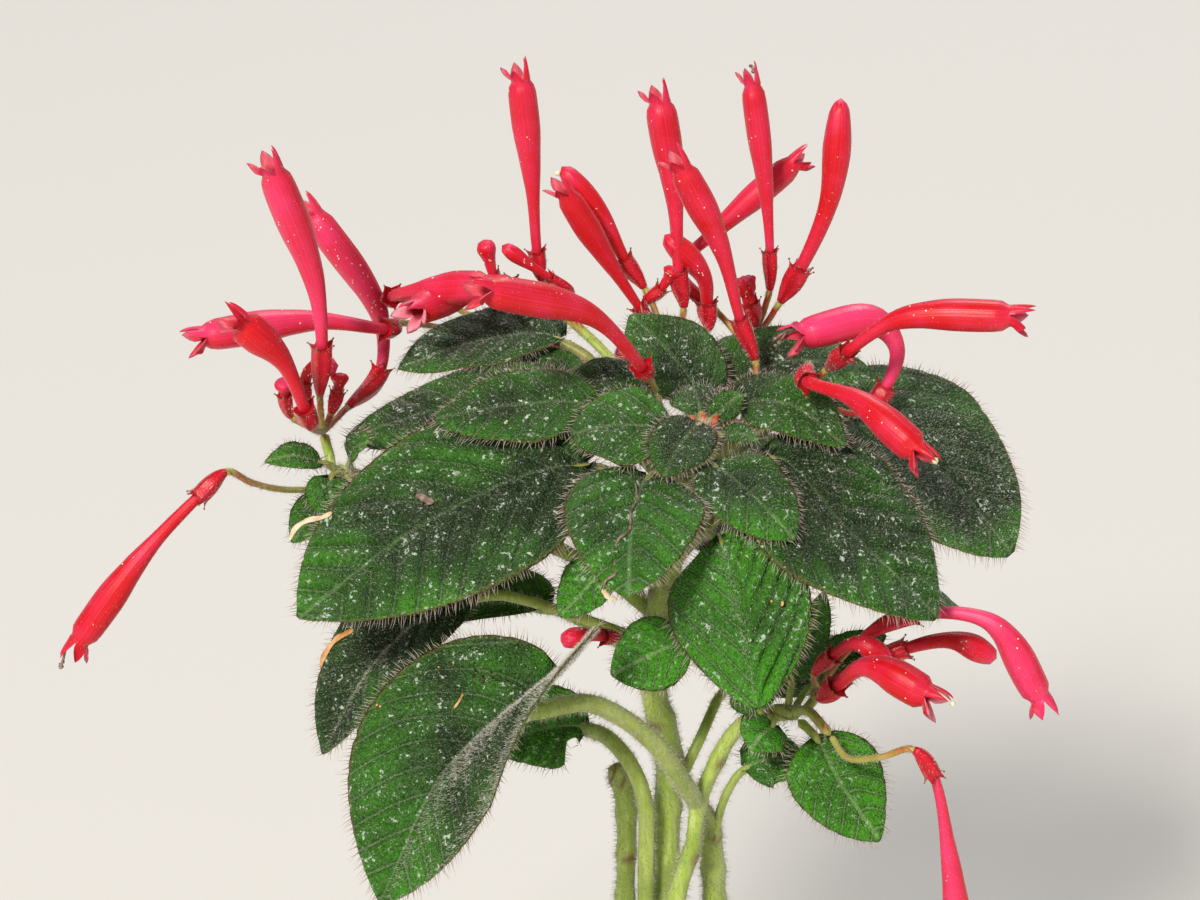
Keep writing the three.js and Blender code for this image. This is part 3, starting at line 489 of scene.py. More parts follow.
def plasticMaterial():
    # Injection-moulded nursery-pot plastic: dull recycled brown with a spark-eroded skin, drawn 0.6 mm
    # coarse so that it shows, long flow marks 55 mm apart, and dust in patches of 17 mm
    material, tree, shader = newMaterial("moulded_brown_plastic")
    space = addNode(tree, "TexCoord", output="Object")
    grain = addNode(tree, "TexNoise", {"Vector": space, "Scale": 1700, "Detail": 3})
    stretch = addNode(tree, "Mapping", {0: space, "Scale": (1, 1, 6)})
    flow = addNode(tree, "TexNoise", {"Vector": stretch, "Scale": 18, "Detail": 5})
    dust = addNode(tree, "TexNoise", {"Vector": space, "Scale": 60, "Detail": 8})
    flowShare = addNode(tree, "MapRange", {0: flow, 1: 0.35, 2: 0.7})
    dustShare = addNode(tree, "MapRange", {0: dust, 1: 0.55, 2: 0.8, 3: 0.0, 4: 0.45})
    colour = addNode(tree, "Mix", {0: flowShare, 6: colourOf("#7f432b"), 7: colourOf("#96543a")}, **colourMix)
    colour = addNode(tree, "Mix", {0: dustShare, 6: colour, 7: colourOf("#a58672")}, **colourMix)
    rough = addNode(tree, "MapRange", {0: dust, 1: 0.4, 2: 0.7, 3: 0.42, 4: 0.62})
    bump = addNode(tree, "Bump", {"Height": grain, "Strength": 0.35, "Distance": 0.2 * mm})
    setShader(shader, Base_Color=colour, Normal=bump, Roughness=rough, IOR=1.49)
    return material


leafSkin = leafMaterial("living_leaf_upper_skin")
leafUnder = leafMaterial("living_leaf_under_skin", under=True)
paleHair = hairMaterial("clear_plant_hair", "#cbc5b4", "#f6f2e8")
bristleHair = hairMaterial("coarse_plant_bristle", "#8a5a4c", "#f1eadd")
stemRind = stemMaterial("living_stem_rind", "#7a5a3a")
stalkRind = stemMaterial("living_flower_stalk_rind", "#b4182a")
petalRed = petalMaterial("satin_red_petal", "#d60613", "#fb4580", 0.38)
petalInside = petalMaterial("pale_petal_inside", "#d91f3c", "#f59aab", 0.45)
calyxRed = petalMaterial("waxy_red_calyx", "#a5040e", "#ea1c38", 0.25)
creamFlesh = plainMaterial("cream_stigma_flesh", "#e8dcae", "#f7f1da", 1.5, 0.4, 0.05)
witheredBrown = plainMaterial("withered_brown_thread", "#5e4a42", "#a88f80", 1.2, 0.7, 0.1)
strawDry = plainMaterial("dry_orange_strip", "#c4803f", "#e8bd85", 2.0, 0.6, 0.1)
creamStrip = plainMaterial("dry_cream_strip", "#d8bf94", "#f3e6c6", 2.0, 0.55, 0.1)
youngBud = plainMaterial("young_orange_bud", "#b03a1c", "#e07838", 1.5, 0.4, 0.1)
scarCork = plainMaterial("corky_leaf_scar", "#6a4a30", "#a07c58", 0.8, 0.8, 0.25)
brownPlastic = plasticMaterial()
darkSoil = plainMaterial("peat_potting_soil", "#1d140e", "#4a3626", 2.5, 0.95, 0.6)
peatCrumb = plainMaterial("peat_crumb", "#20160f", "#5a4330", 1.5, 0.95, 0.3)
whiteGrit = plainMaterial("expanded_white_grit", "#cfcac0", "#f4f2ec", 0.8, 0.8, 0.15)
tuberCork = plainMaterial("corky_tuber_bark", "#4e3a28", "#94785a", 3.0, 0.85, 0.7)
print("materials made:", len(bpy.data.materials))


# Stems: a centre line from the root stock up, and the radius at its foot and at its top. The right and
# left ones are side shoots, and the second and the stub are old stems that were cut back
stems = {
    "main": {"line": [(-1, 0, 92), (-1, 0, 139), (0, 2, 162), (0, 2, 174), (-3, 1, 187), (-2, -2, 208),
                      (3, -7, 230), (6, -10, 243)], "radii": (3.4, 2.2)},
    "second": {"line": [(11, 4, 92), (10, 4, 137), (9, 3, 152), (8, 2, 158)], "radii": (2.6, 2.3)},
    "right": {"line": [(2, -9, 92), (1, -7, 139), (5, -7, 156), (6, -6, 164), (9, -5, 172), (14, -5, 181),
                       (21, -6, 185), (27, -8, 186)], "radii": (2, 1.5)},
    "left": {"line": [(-2, -1, 204), (-14, 4, 212), (-34, 8, 221), (-54, 6, 229), (-68, 3, 235)],
             "radii": (1.6, 1.3)},
    "stub": {"line": [(-11, 2, 92), (-9, 0, 140), (-9, -1, 164), (-11, -2, 172)], "radii": (1.9, 2.1)},
}


def stemPoint(name, height):
    line = stems[name]["line"]
    upper = next((k for k in range(1, len(line)) if line[k][2] >= height), len(line) - 1)
    low, high = np.array(line[upper - 1], float), np.array(line[upper], float)
    return low + (high - low) * (height - low[2]) / (high[2] - low[2])


def rootOf(place):
    return stemPoint(*place) if isinstance(place[0], str) else np.array(place, float)


# Leaves, seen from root to tip. root is the stem and the height it leaves it at, or a point, and via
# bends the petiole. faces is where the upper side looks, fold lifts the left and right half in degrees,
# fresh runs from 0, old and dull, to 1, young and bright, and quilt is how high each half swells between
# its side veins. On some leaves curl lifts a half's base further, hump raises a ridge beside the midrib,
# ribFade dims the midrib, bite gives the side, place and size of a gnawed gap, down thickens the fine
# hairs, and velvet lists bands of dense down: across, spread, count, and how much they keep to the base.
leaves = {
    "leaf_front_left_large": {
        "root": ("main", 227), "base": (-18, -14, 242), "mid": (-47, -23, 234), "tip": (-72, -37, 219),
        "width": 44, "faces": (-0.15, -0.5, 0.85), "fold": (4, 4), "fresh": 0.3, "quilt": (1.9, 2.0),
        "veinGap": 7},
    "leaf_low_left_large": {
        "root": ("second", 156), "via": [(3, -12, 172), (-8, -26, 192)], "base": (-26, -42, 204),
        "mid": (-43, -48, 193), "tip": (-56, -58, 169), "width": 42, "faces": (-0.25, -0.8, 0.55),
        "fold": (33, 5), "petiole": 1.9, "fresh": 0.3, "quilt": (0.5, 0.9), "hump": (4, 0), "curl": (50, 0),
        "lobes": (0.43, 0.17),
        "velvet": [(-0.3, 0.12, 1800, 1.7), (-0.92, 0.08, 1000, 1.7), (-0.75, 0.25, 2600, 14)]},
    "leaf_left_behind": {
        "root": ("main", 198), "base": (-40, -6, 211), "mid": (-58, -10, 200), "tip": (-70, -17, 181),
        "width": 26, "faces": (-0.55, -0.55, 0.62), "fold": (20, 20), "fresh": 0.05, "down": 1.6,
        "velvet": [(0, 0.12, 900, 1.7)]},
    "leaf_upper_left": {
        "root": ("main", 230.8), "base": (-19, 4, 248), "mid": (-43, 10, 246), "tip": (-66, 12, 238),
        "width": 26, "faces": (-0.25, -0.3, 0.9), "fold": (3, 3), "fresh": 0.2, "down": 1.4},
    "leaf_upper_left_short": {
        "root": ("main", 237.6), "base": (-16, -7, 252), "mid": (-31, -7, 252), "tip": (-47, -7, 249),
        "width": 20, "faces": (-0.1, -0.45, 0.88), "fold": (3, 3), "fresh": 0.4},
    "leaf_upper_left_inner": {
        "root": ("main", 235.2), "via": [(-9, 3, 244)], "base": (-20, 17, 250), "mid": (-31, 20, 249),
        "tip": (-42, 22, 245), "width": 20, "faces": (-0.1, -0.35, 0.93), "fold": (3, -2), "fresh": 0.25},
    "leaf_upper_left_rear": {
        "root": ("main", 228.7), "via": [(-7, 18, 241)], "base": (-23, 27, 255), "mid": (-40, 30, 253),
        "tip": (-56, 27, 248), "width": 23, "faces": (-0.2, -0.25, 0.93), "fold": (9, 9), "fresh": 0.1,
        "down": 1.6},
    "leaf_front_centre": {
        "root": ("main", 235), "base": (-5, -24, 243), "mid": (-8, -38, 240), "tip": (-9, -55, 231),
        "width": 27, "faces": (0, -0.35, 0.93), "fold": (6, 6), "fresh": 0.35, "quilt": (1.3, 1.3)},
    "leaf_front_right_small": {
        "root": ("main", 238), "base": (8, -22, 245), "mid": (15, -28, 241), "tip": (23, -34, 234),
        "width": 20, "faces": (0.2, -0.5, 0.85), "fold": (4, 4), "fresh": 0.45},
    "leaf_crown_left": {
        "root": ("main", 239.8), "via": [(1.5, -13, 243.5)], "base": (-2, -16, 250), "mid": (-11, -16, 251),
        "tip": (-20, -16, 249), "width": 22, "faces": (-0.15, -0.4, 0.9), "fold": (4, 4), "fresh": 0.35},
    "leaf_crown_right": {
        "root": ("main", 239.9), "via": [(10, -8, 243.8)], "base": (13, -3, 250.5), "mid": (23, -5, 251.5),
        "tip": (34, -12, 245), "width": 18, "faces": (0.1, -0.4, 0.9), "fold": (5, 5), "fresh": 0.3},
    "leaf_crown_rear": {
        "root": ("main", 238.9), "base": (6, 6, 249), "mid": (0, 13, 256), "tip": (-8, 20, 262),
        "width": 20, "faces": (0.1, -0.6, 0.8), "fold": (6, 6), "fresh": 0.3},
    "leaf_crown_rear_left": {
        "root": ("main", 239.9), "base": (-6, 1, 252), "mid": (-14, 2, 254), "tip": (-23, 3, 251),
        "width": 13, "faces": (-0.1, -0.45, 0.88), "fold": (6, 6), "fresh": 0.3},
    "leaf_rear_right_upper": {
        "root": ("main", 235.7), "base": (10, 12, 248), "mid": (24, 20, 252), "tip": (41, 22, 250),
        "width": 25, "faces": (0.1, -0.35, 0.92), "fold": (4, 4), "fresh": 0.25},
    "leaf_right_large": {
        "root": ("main", 231), "base": (20, -12, 243), "mid": (33, -23, 233), "tip": (51, -33, 217.5),
        "width": 41, "faces": (0.35, -0.5, 0.8), "fold": (4, 9), "fresh": 0.1, "quilt": (1.6, 1.6)},
    "leaf_far_right": {
        "root": ("main", 225.2), "base": (36, 10, 243), "mid": (54, 6, 234), "tip": (69, -1, 218),
        "width": 46, "faces": (0.45, -0.5, 0.75), "fold": (6, 6), "fresh": 0.12, "quilt": (0.5, 0.5),
        "down": 2.2},
    "leaf_front_quilted": {
        "root": ("main", 221), "base": (9, -31, 232.5), "mid": (13, -40, 220), "tip": (16, -46, 204),
        "width": 28, "faces": (0.1, -0.85, 0.5), "fold": (8, -26), "fresh": 0.75, "quilt": (2.6, 0.4),
        "veinGap": 4.8, "veinSweep": -1.15, "ribFade": 0.5, "petiole": 0.8,
        "velvet": [(0.04, 0.05, 300, 1.2)]},
    "leaf_front_round": {
        "root": ("main", 202), "via": [(5, -12, 206)], "base": (2, -22, 208), "mid": (-5, -23, 205),
        "tip": (-12, -23, 201), "width": 15, "faces": (-0.2, -0.85, 0.5), "fold": (4, 4), "fresh": 0.95,
        "quilt": (0.6, 0.6), "veinGap": 2.8},
    "leaf_front_folded_small": {
        "root": ("main", 212), "base": (-13, -24, 225), "mid": (-17, -27, 221), "tip": (-22, -29, 216),
        "width": 12, "faces": (-0.3, -0.7, 0.6), "fold": (20, 20), "fresh": 0.7, "down": 2, "veinGap": 2.8},
    "leaf_low_right": {
        "root": (26, -8, 184.6), "base": (30, -14, 182.5), "mid": (34, -19, 176), "tip": (42, -24, 165),
        "width": 20, "faces": (0.2, -0.85, 0.5), "fold": (5, 5), "petiole": 0.9, "fresh": 0.95,
        "quilt": (0.4, 0.4), "veinGap": 3.6},
    "leaf_low_middle_right": {
        "root": ("second", 149), "via": [(12, -2, 165)], "base": (16, -2, 171), "mid": (22, -1.6, 172.6),
        "tip": (28, -2.5, 170), "width": 13, "faces": (0.1, -0.6, 0.8), "fold": (6, 6), "petiole": 0.9,
        "fresh": 0.8, "veinGap": 2.8},
    "leaf_low_left_bitten": {
        "root": (-5, -6, 100), "via": [(-5, -6, 141), (-5, -7, 166), (-10, -4, 176)], "base": (-18, 5, 177),
        "mid": (-26, 6, 176), "tip": (-37, 5, 172), "width": 18, "faces": (-0.1, -0.8, 0.6),
        "fold": (10, 10), "petiole": 1.7, "fresh": 1.0, "bite": (-1, 0.16, 0.1)},
    "leaf_low_rear_right": {
        "root": ("main", 160), "via": [(7, 7, 174)], "base": (13, 18, 181), "mid": (28, 34, 184),
        "tip": (40, 52, 176), "width": 34, "faces": (0.2, -0.1, 0.95), "fold": (6, 6), "fresh": 0.5},
}

# Leaves of the far side follow one rule. heading is in degrees anticlockwise from +X, rise is where the
# petiole leaves the main stem, and height is the blade's at its base.
rearLeaves = {
    "baseRadius": 25,
    "tipDrop": 14,
    "each": [
        {"heading": 38, "rise": 217, "height": 230, "reach": 64, "width": 34, "fresh": 0.3},
        {"heading": 92, "rise": 219, "height": 232, "reach": 66, "width": 36, "fresh": 0.2},
        {"heading": 142, "rise": 214, "height": 226, "reach": 64, "width": 34, "fresh": 0.35},
        {"heading": 12, "rise": 203, "height": 213, "reach": 66, "width": 34, "fresh": 0.5},
        {"heading": 64, "rise": 199, "height": 210, "reach": 70, "width": 38, "fresh": 0.4},
        {"heading": 116, "rise": 201, "height": 214, "reach": 70, "width": 38, "fresh": 0.45},
        {"heading": 160, "rise": 193, "height": 203, "reach": 62, "width": 32, "fresh": 0.55},
    ],
}


def rearLeaf(settings):
    x, y, _ = stemPoint("main", settings["rise"])
    heading = math.radians(settings["heading"])
    across, away = math.cos(heading), math.sin(heading)
    inner, outer = rearLeaves["baseRadius"], settings["reach"]
    height = settings["height"]
    out = lambda radius, level: (x + radius * across, y + radius * away, level)
    return {
        "root": ("main", settings["rise"]), "base": out(inner, height),
        "mid": out((inner + outer) / 2, height), "tip": out(outer, height - rearLeaves["tipDrop"]),
        "width": settings["width"], "faces": (0.3 * across, 0.3 * away, 0.95), "fold": (5, 5),
        "fresh": settings["fresh"], "cell": 1.1, "down": 0.7,
    }


for number, settings in enumerate(rearLeaves["each"]):
    leaves[f"leaf_rear_{number + 1}"] = rearLeaf(settings)

# What all leaves share, in millimetres
blade = {
    "petiole": 1.1,
    "camber": 0.1,  # how far the margins droop, as a share of the half width
    "thickness": 0.6,
    "cell": 0.9,  # size of one face
    "tooth": 0.38,  # how far the scallops of the margin stand out
    "toothGap": 2.3,
    "ripple": 0.016,  # how far the margin waves, as a share of the width
    "lobes": 0.08,  # how far the base reaches back past the petiole, as a share of the width
    "veinGap": 6.2,
    "veinSweep": 0.75,  # how far a side vein runs forward for each millimetre outward
    "veinOffset": 0.38,  # how far the left veins lag behind the right ones, as a share of their gap
    "quilt": (0.85, 0.85),
    "groove": 0.6,  # how deep the midrib's furrow is
    "swell": 0.25,  # how high the blade's broad unevenness is
    "bladeShare": 0.7,  # how much of length times width the blade fills
    "hairsPerArea": 1.5,  # fine hairs on a square millimetre of the upper side, and then of the under side
    "hairsUnder": 0.3,
    "hairLength": (0.4, 0.9),
    "hairRadius": 0.035,
    "bristlesPerLength": 1.7,
    "bristleLength": (1.6, 3.3),
    "bristleRadius": 0.1,
    "bristleBend": 0.15,
    "velvetLength": (0.5, 1.2),
    "velvetRadius": 0.045,
    "velvetBothSides": 5,  # velvet that keeps to the base more than this stands on both faces
    "stalkHairs": 3.4,  # on a square millimetre of the petiole
    "stalkHairLength": (0.6, 1.3),
    "duskAbove": 222,  # a blade that starts above this height has a dusky petiole
}


def bladeOutline(place):
    # half the width from base to tip, as a share of the widest
    return place**0.55 * (1 - place) ** 0.8 / 0.401


class LeafForm:
    # the shape of one leaf: its line from root to tip, and its blade as a surface

    def __init__(self, settings, seed):
        self.settings = settings
        self.width = settings["width"]
        path = [rootOf(settings["root"]), *settings.get("via", [])]
        path += [settings["base"], settings["mid"], settings["tip"]]
        self.line = smoothLine(path)
        self.baseShare = (len(path) - 3) / (len(path) - 1)
        fine = self.line(np.linspace(self.baseShare, 1, 60))
        self.length = np.linalg.norm(np.diff(fine, axis=0), axis=1).sum()
        self.veinGap = settings.get("veinGap", min(blade["veinGap"], 0.26 * self.width))
        self.rng = np.random.default_rng(seed)
        self.wave = self.rng.uniform(0, 2 * math.pi, 6)
        self.backward = unit(np.array(settings["base"], float) - settings["tip"])

    def point(self, across, place):
        # across runs from -1 to 1 and place from 0 at the base to 1 at the tip
        settings = self.settings
        place = np.clip(place, 0, 1)
        across = np.clip(across, -1, 1)
        off = np.abs(across)
        isLeft = across < 0
        share = self.baseShare + (1 - self.baseShare) * place
        centre, _, up, side = sectionAt(self.line, share, settings["faces"])
        lobes = np.where(isLeft, *settings.get("lobes", (blade["lobes"], blade["lobes"])))
        outline = self.width / 2 * bladeOutline(np.minimum(place, 0.995))
        half = np.maximum(outline, 0.1 + 5 * lobes * (1 - place) ** 7)
        run = place * self.length
        scallop = np.sqrt(1 - (2 * ((run / blade["toothGap"] + 0.3 * isLeft) % 1) - 1) ** 2)
        reach = half + blade["tooth"] * (scallop - 0.6) * off**8 * np.minimum(1, half / 4)
        if "bite" in settings:
            which, where, size = settings["bite"]
            gnawed = 0.62 * np.clip(1.6 - 1.6 * ((place - where) / size) ** 2, 0, 1)
            reach = reach * (1 - gnawed * (np.sign(across) == which) * off)
        curl = np.where(isLeft, *settings.get("curl", (0, 0))) * (1 - place) ** 2.5
        lift = np.radians(np.where(isLeft, *settings["fold"]) + curl)
        phases = np.where(isLeft, self.wave[0], self.wave[1]) + 5 * place
        ripple = blade["ripple"] * self.width * off**2 * np.sin(2.3 * phases) * np.minimum(1, 4 * place)
        apart = off * reach
        lag = settings.get("veinSweep", blade["veinSweep"]) * (apart + 0.018 * apart**2)
        lag = lag - blade["veinOffset"] * self.veinGap * isLeft * np.minimum(1, apart / 2)
        phase = (run - lag) / self.veinGap + 20
        offVein = np.abs(phase - np.rint(phase))
        pillow = 1 - (1 - 2 * offVein) ** 2
        flat = np.minimum(1, apart / 2) * (1 - off**6) * np.minimum(1, 6 * (1 - place))
        quilt = np.where(isLeft, *settings.get("quilt", blade["quilt"])) * (pillow - 0.6) * flat
        groove = -blade["groove"] * np.exp(-(apart**2)) * (1 - place) ** 0.7
        swell = np.sin(run / 5 + self.wave[2] + across * 3) * np.sin(3 * across + self.wave[3])
        bumps = quilt + groove + blade["swell"] * swell * flat
        ridge = np.sin(math.pi * off**0.55) ** 2
        hump = np.where(isLeft, *settings.get("hump", (0, 0))) * ridge * (1 - place) ** 0.6
        rise = reach * (off * np.sin(lift) - blade["camber"] * off**2) + ripple + bumps + hump
        back = lobes * self.width * off**1.5 * (1 - place) ** 7
        points = centre + side * (np.sign(across) * apart * np.cos(lift))[:, None] + up * rise[:, None]
        reads = np.stack([phase, apart + settings.get("ribFade", 0), off], 1)
        return points + self.backward * back[:, None], reads

    def surface(self, across, place):
        # points, what the material reads there, the way out of the upper side, and the way to the tip
        points, reads = self.point(across, place)
        step = 0.01
        wide = self.point(across + step, place)[0] - self.point(across - step, place)[0]
        long = self.point(across, place + step)[0] - self.point(across, place - step)[0]
        return points, reads, unit(np.cross(wide, long)), unit(long)

    def tone(self, across, place):
        fresh = self.settings["fresh"]
        return fresh + 0.4 * np.clip(place - 0.5, 0, 1) + 0.25 * (np.abs(across) - 0.45) - 0.15 * (1 - place)


leafMaterials = [leafSkin, leafUnder, stemRind, paleHair, bristleHair]
upperSkin, underSkin, rind, fineHair, coarseHair = range(5)


def addLeaf(bm, form, petiole):
    rng = form.rng
    cell = form.settings.get("cell", blade["cell"])
    columns = 2 * max(4, round(form.width / cell / 2))
    rows = max(10, round(form.length / cell))

    def side(sign):
        def shape(u, v):
            across = 2 * u - 1
            points, reads, out, _ = form.surface(across, v)
            ends = np.clip((1 - v) * 50, 0, 1) * np.clip(v * 100, 0, 1)
            body = np.sqrt(np.clip(1 - across**10, 0, 1) * ends)
            half = blade["thickness"] / 2 * min(1, form.width / 16)
            return points + out * (sign * half * body)[:, None], reads
        return shape

    tone = lambda u, v: form.tone(2 * u - 1, v)
    addSheet(bm, columns, rows, side(1), upperSkin, tone=tone)
    addSheet(bm, columns, rows, side(-1), underSkin, turned=True, tone=tone)
    bmesh.ops.remove_doubles(bm, verts=bm.verts, dist=1e-4)

    # Petiole, and the rib that it runs on as under the blade
    before = form.line(np.linspace(0, form.baseShare, 7))
    places = np.array([0.07, 0.2, 0.4, 0.6, 0.8])
    points, _, out, _ = form.surface(np.zeros(5), places)
    before[-1] -= out[0] * petiole
    rib = smoothLine(np.vstack([before, points - out * (0.35 + 0.5 * petiole * (1 - places))[:, None]]))
    petioleShare = evenPlaces(rib, 100)[0]
    bladeStart = np.interp(6 / 11, petioleShare, np.linspace(0, 1, 100))

    def radiusAt(angle, share):
        wide = np.interp(share, [0, 0.08, bladeStart, 1], [1.5, 1.05, 0.95, 0.3]) * petiole
        return wide * (1 + 0.05 * np.sin(3 * angle + 9 * share))

    rings = max(12, round(evenPlaces(rib, 2)[1] / 1.6))
    dusk = 0.5 if form.settings["base"][2] > blade["duskAbove"] else 0.1
    dusky = lambda u, v: 0.25 * np.clip(0.2 - v, 0, 1) + dusk * np.clip(3 * v, 0, 1)
    surface = addTube(bm, rib, radiusAt, 10, rings, rind, tone=dusky)

    # Fine down on both faces, thicker on the upper one
    area = form.width * form.length * blade["bladeShare"]
    thick = blade["hairsPerArea"] * form.settings.get("down", 1)
    for sign, density in ((1, thick), (-1, blade["hairsUnder"])):
        count = int(area * density)
        place = rng.beta(1.55, 1.8, count) * 0.98 + 0.01
        across = rng.uniform(-0.99, 0.99, count)
        points, _, out, tipward = form.surface(across, place)
        outward = unit(np.cross(tipward, out)) * across[:, None]
        ways = unit(sign * out + 0.45 * tipward + 0.5 * outward + rng.normal(0, 0.22, (count, 3)))
        lengths = rng.uniform(*blade["hairLength"], count)
        plantHairs(bm, rng, points + sign * 0.2 * out, ways, lengths, blade["hairRadius"], fineHair)

    for middle, spread, count, baseward in form.settings.get("velvet", []):
        across = np.clip(rng.normal(middle, spread, count), -0.99, 0.99)
        place = rng.beta(1, baseward, count) * 0.95 + 0.01
        points, _, out, tipward = form.surface(across, place)
        isBoth = baseward > blade["velvetBothSides"]
        face = np.where(isBoth, np.sign(rng.normal(size=count)), 1)[:, None]
        ways = unit(face * out + 0.5 * tipward + rng.normal(0, 0.35, (count, 3)))
        lengths = rng.uniform(*blade["velvetLength"], count)
        plantHairs(bm, rng, points + 0.2 * face * out, ways, lengths, blade["velvetRadius"], fineHair)

    # Bristles along the margin
    for edge in (-1, 1):
        margin, _ = form.point(np.full(200, edge), np.linspace(0, 1, 200))
        run = np.concatenate([[0], np.cumsum(np.linalg.norm(np.diff(margin, axis=0), axis=1))])
        count = int(run[-1] * blade["bristlesPerLength"])
        spots = (np.arange(count) + rng.uniform(0.1, 0.9, count)) / count
        place = np.interp(spots * run[-1], run, np.linspace(0, 1, 200))
        points, _, out, tipward = form.surface(np.full(count, edge), place)
        outward = unit(np.cross(tipward, out)) * edge
        lean = rng.normal(0.05, 0.2, (count, 1))
        ways = unit(outward + 0.25 * tipward + lean * out + rng.normal(0, 0.08, (count, 3)))
        lengths = rng.uniform(*blade["bristleLength"], count) * min(1, 0.55 + form.width / 60)
        roots = points - outward * 0.15
        radius, bend = blade["bristleRadius"], blade["bristleBend"]
        plantHairs(bm, rng, roots, ways, lengths, radius, coarseHair, bend, bentSpike)

    # Down on the petiole
    length = evenPlaces(rib, 2)[1] * bladeStart
    count = int(2 * math.pi * petiole * length * blade["stalkHairs"])
    span = (0.02, min(0.98, bladeStart + 0.1))
    addDown(bm, rng, surface, count, span, blade["stalkHairLength"], fineHair)


def addDown(bm, rng, surface, count, span, lengths, material, radius=0.042):
    # hairs that stand out all round a tube
    points, out, along = surface(rng.uniform(0, 2 * math.pi, count), rng.uniform(*span, count))
    ways = unit(out + rng.normal(0, 0.25, (count, 3)) + 0.1 * along)
    plantHairs(bm, rng, points - 0.05 * out, ways, rng.uniform(*lengths, count), radius, material, 0.2)


def makeLeaves():
    for seed, (name, settings) in enumerate(leaves.items()):
        bm = newPiece()
        addLeaf(bm, LeafForm(settings, seed), settings.get("petiole", blade["petiole"]))
        finishPiece(f"{name}_grown", bm, leafMaterials, "leaf", name)


makeLeaves()
print("leaves made:", len(leaves))


# Shoots and crown: small leaves that grow fused to what carries them
shootLeaves = {
    "left": [
        {"root": (-66, 3, 234), "base": (-70, -1, 238), "mid": (-75, -3, 240), "tip": (-81, -4, 239),
         "width": 8, "faces": (0, -0.4, 0.9), "fresh": 0.6},
        {"root": (-64, 3, 233), "base": (-64.5, 0, 238), "mid": (-63, -2.5, 241.5), "tip": (-60, -5, 243.5),
         "width": 9, "faces": (0, -0.6, 0.8), "fresh": 0.5},
        {"root": (-66, 3, 234), "base": (-68, -2, 235), "mid": (-68, -5, 232), "tip": (-67, -6, 228),
         "width": 10, "faces": (0, -0.8, 0.6), "fresh": 0.6},
        {"root": (-60, 4, 231), "base": (-67, -1, 229), "mid": (-72, -3, 227), "tip": (-76, -5, 222),
         "width": 10, "faces": (-0.3, -0.7, 0.6), "fresh": 0.4},
    ],
    "right": [
        {"root": (20, -6, 185), "base": (21, -10.5, 184.5), "mid": (18.5, -13, 183.5), "tip": (16, -15, 181),
         "width": 11, "faces": (0, -0.8, 0.6), "fresh": 1.0},
        {"root": (24, -7, 186), "base": (25, -5, 192), "mid": (28, -5, 201), "tip": (31, -6, 212),
         "width": 9, "faces": (0.3, -0.9, 0.2), "fresh": 0.7},
        {"root": (25, -7, 186), "base": (29, -3, 190), "mid": (36, -2, 196), "tip": (44, -3, 201),
         "width": 10, "faces": (0, -0.7, 0.7), "fresh": 0.7},
        {"root": (19, -6, 184), "base": (18, -11, 188), "mid": (16, -14, 194), "tip": (13, -17, 200),
         "width": 10, "faces": (0, -0.9, 0.4), "fresh": 0.9},
    ],
    "crown": [
        {"root": (6, -10, 247), "base": (5, -15, 251), "mid": (1, -23, 249), "tip": (-2, -29, 245),
         "width": 13, "faces": (0, -0.5, 0.85), "fresh": 0.15, "down": 2},
        {"root": (6, -10, 247), "base": (5.6, -7, 250.5), "mid": (4.9, -3, 252.3), "tip": (4.1, 1, 253.5),
         "width": 11, "faces": (0, -0.7, 0.7), "fresh": 0.25, "down": 2},
        {"root": (6, -10, 246.5), "base": (9.5, -12, 247.7), "mid": (13, -13, 248.3), "tip": (17, -14, 247),
         "width": 5, "faces": (0, -0.5, 0.85), "fresh": 0.35, "down": 2.5},
        {"root": (6, -10, 247), "base": (8, -9, 250), "mid": (11, -8, 252.5), "tip": (14, -7, 254.5),
         "width": 6, "faces": (0.2, -0.7, 0.7), "fresh": 0.35, "down": 2.5},
    ],
}
smallLeaf = {"fold": (8, 8), "quilt": (0.35, 0.35)}

# What all stems share, in millimetres, and the petiole's radius on their small leaves
stemLook = {
    "nodeGap": 12,  # mm from one pair of old leaf scars to the next, on average
    "nodeSwell": 0.17,
    "nodeLength": 1.7,
    "scarLength": 1.3,
    "hairsPerArea": 3.6,
    "hairLength": (0.8, 1.6),
    "bareFoot": 98,  # a stem has no hairs below this height, where the root stock hides it
    "petiole": 0.7,
}


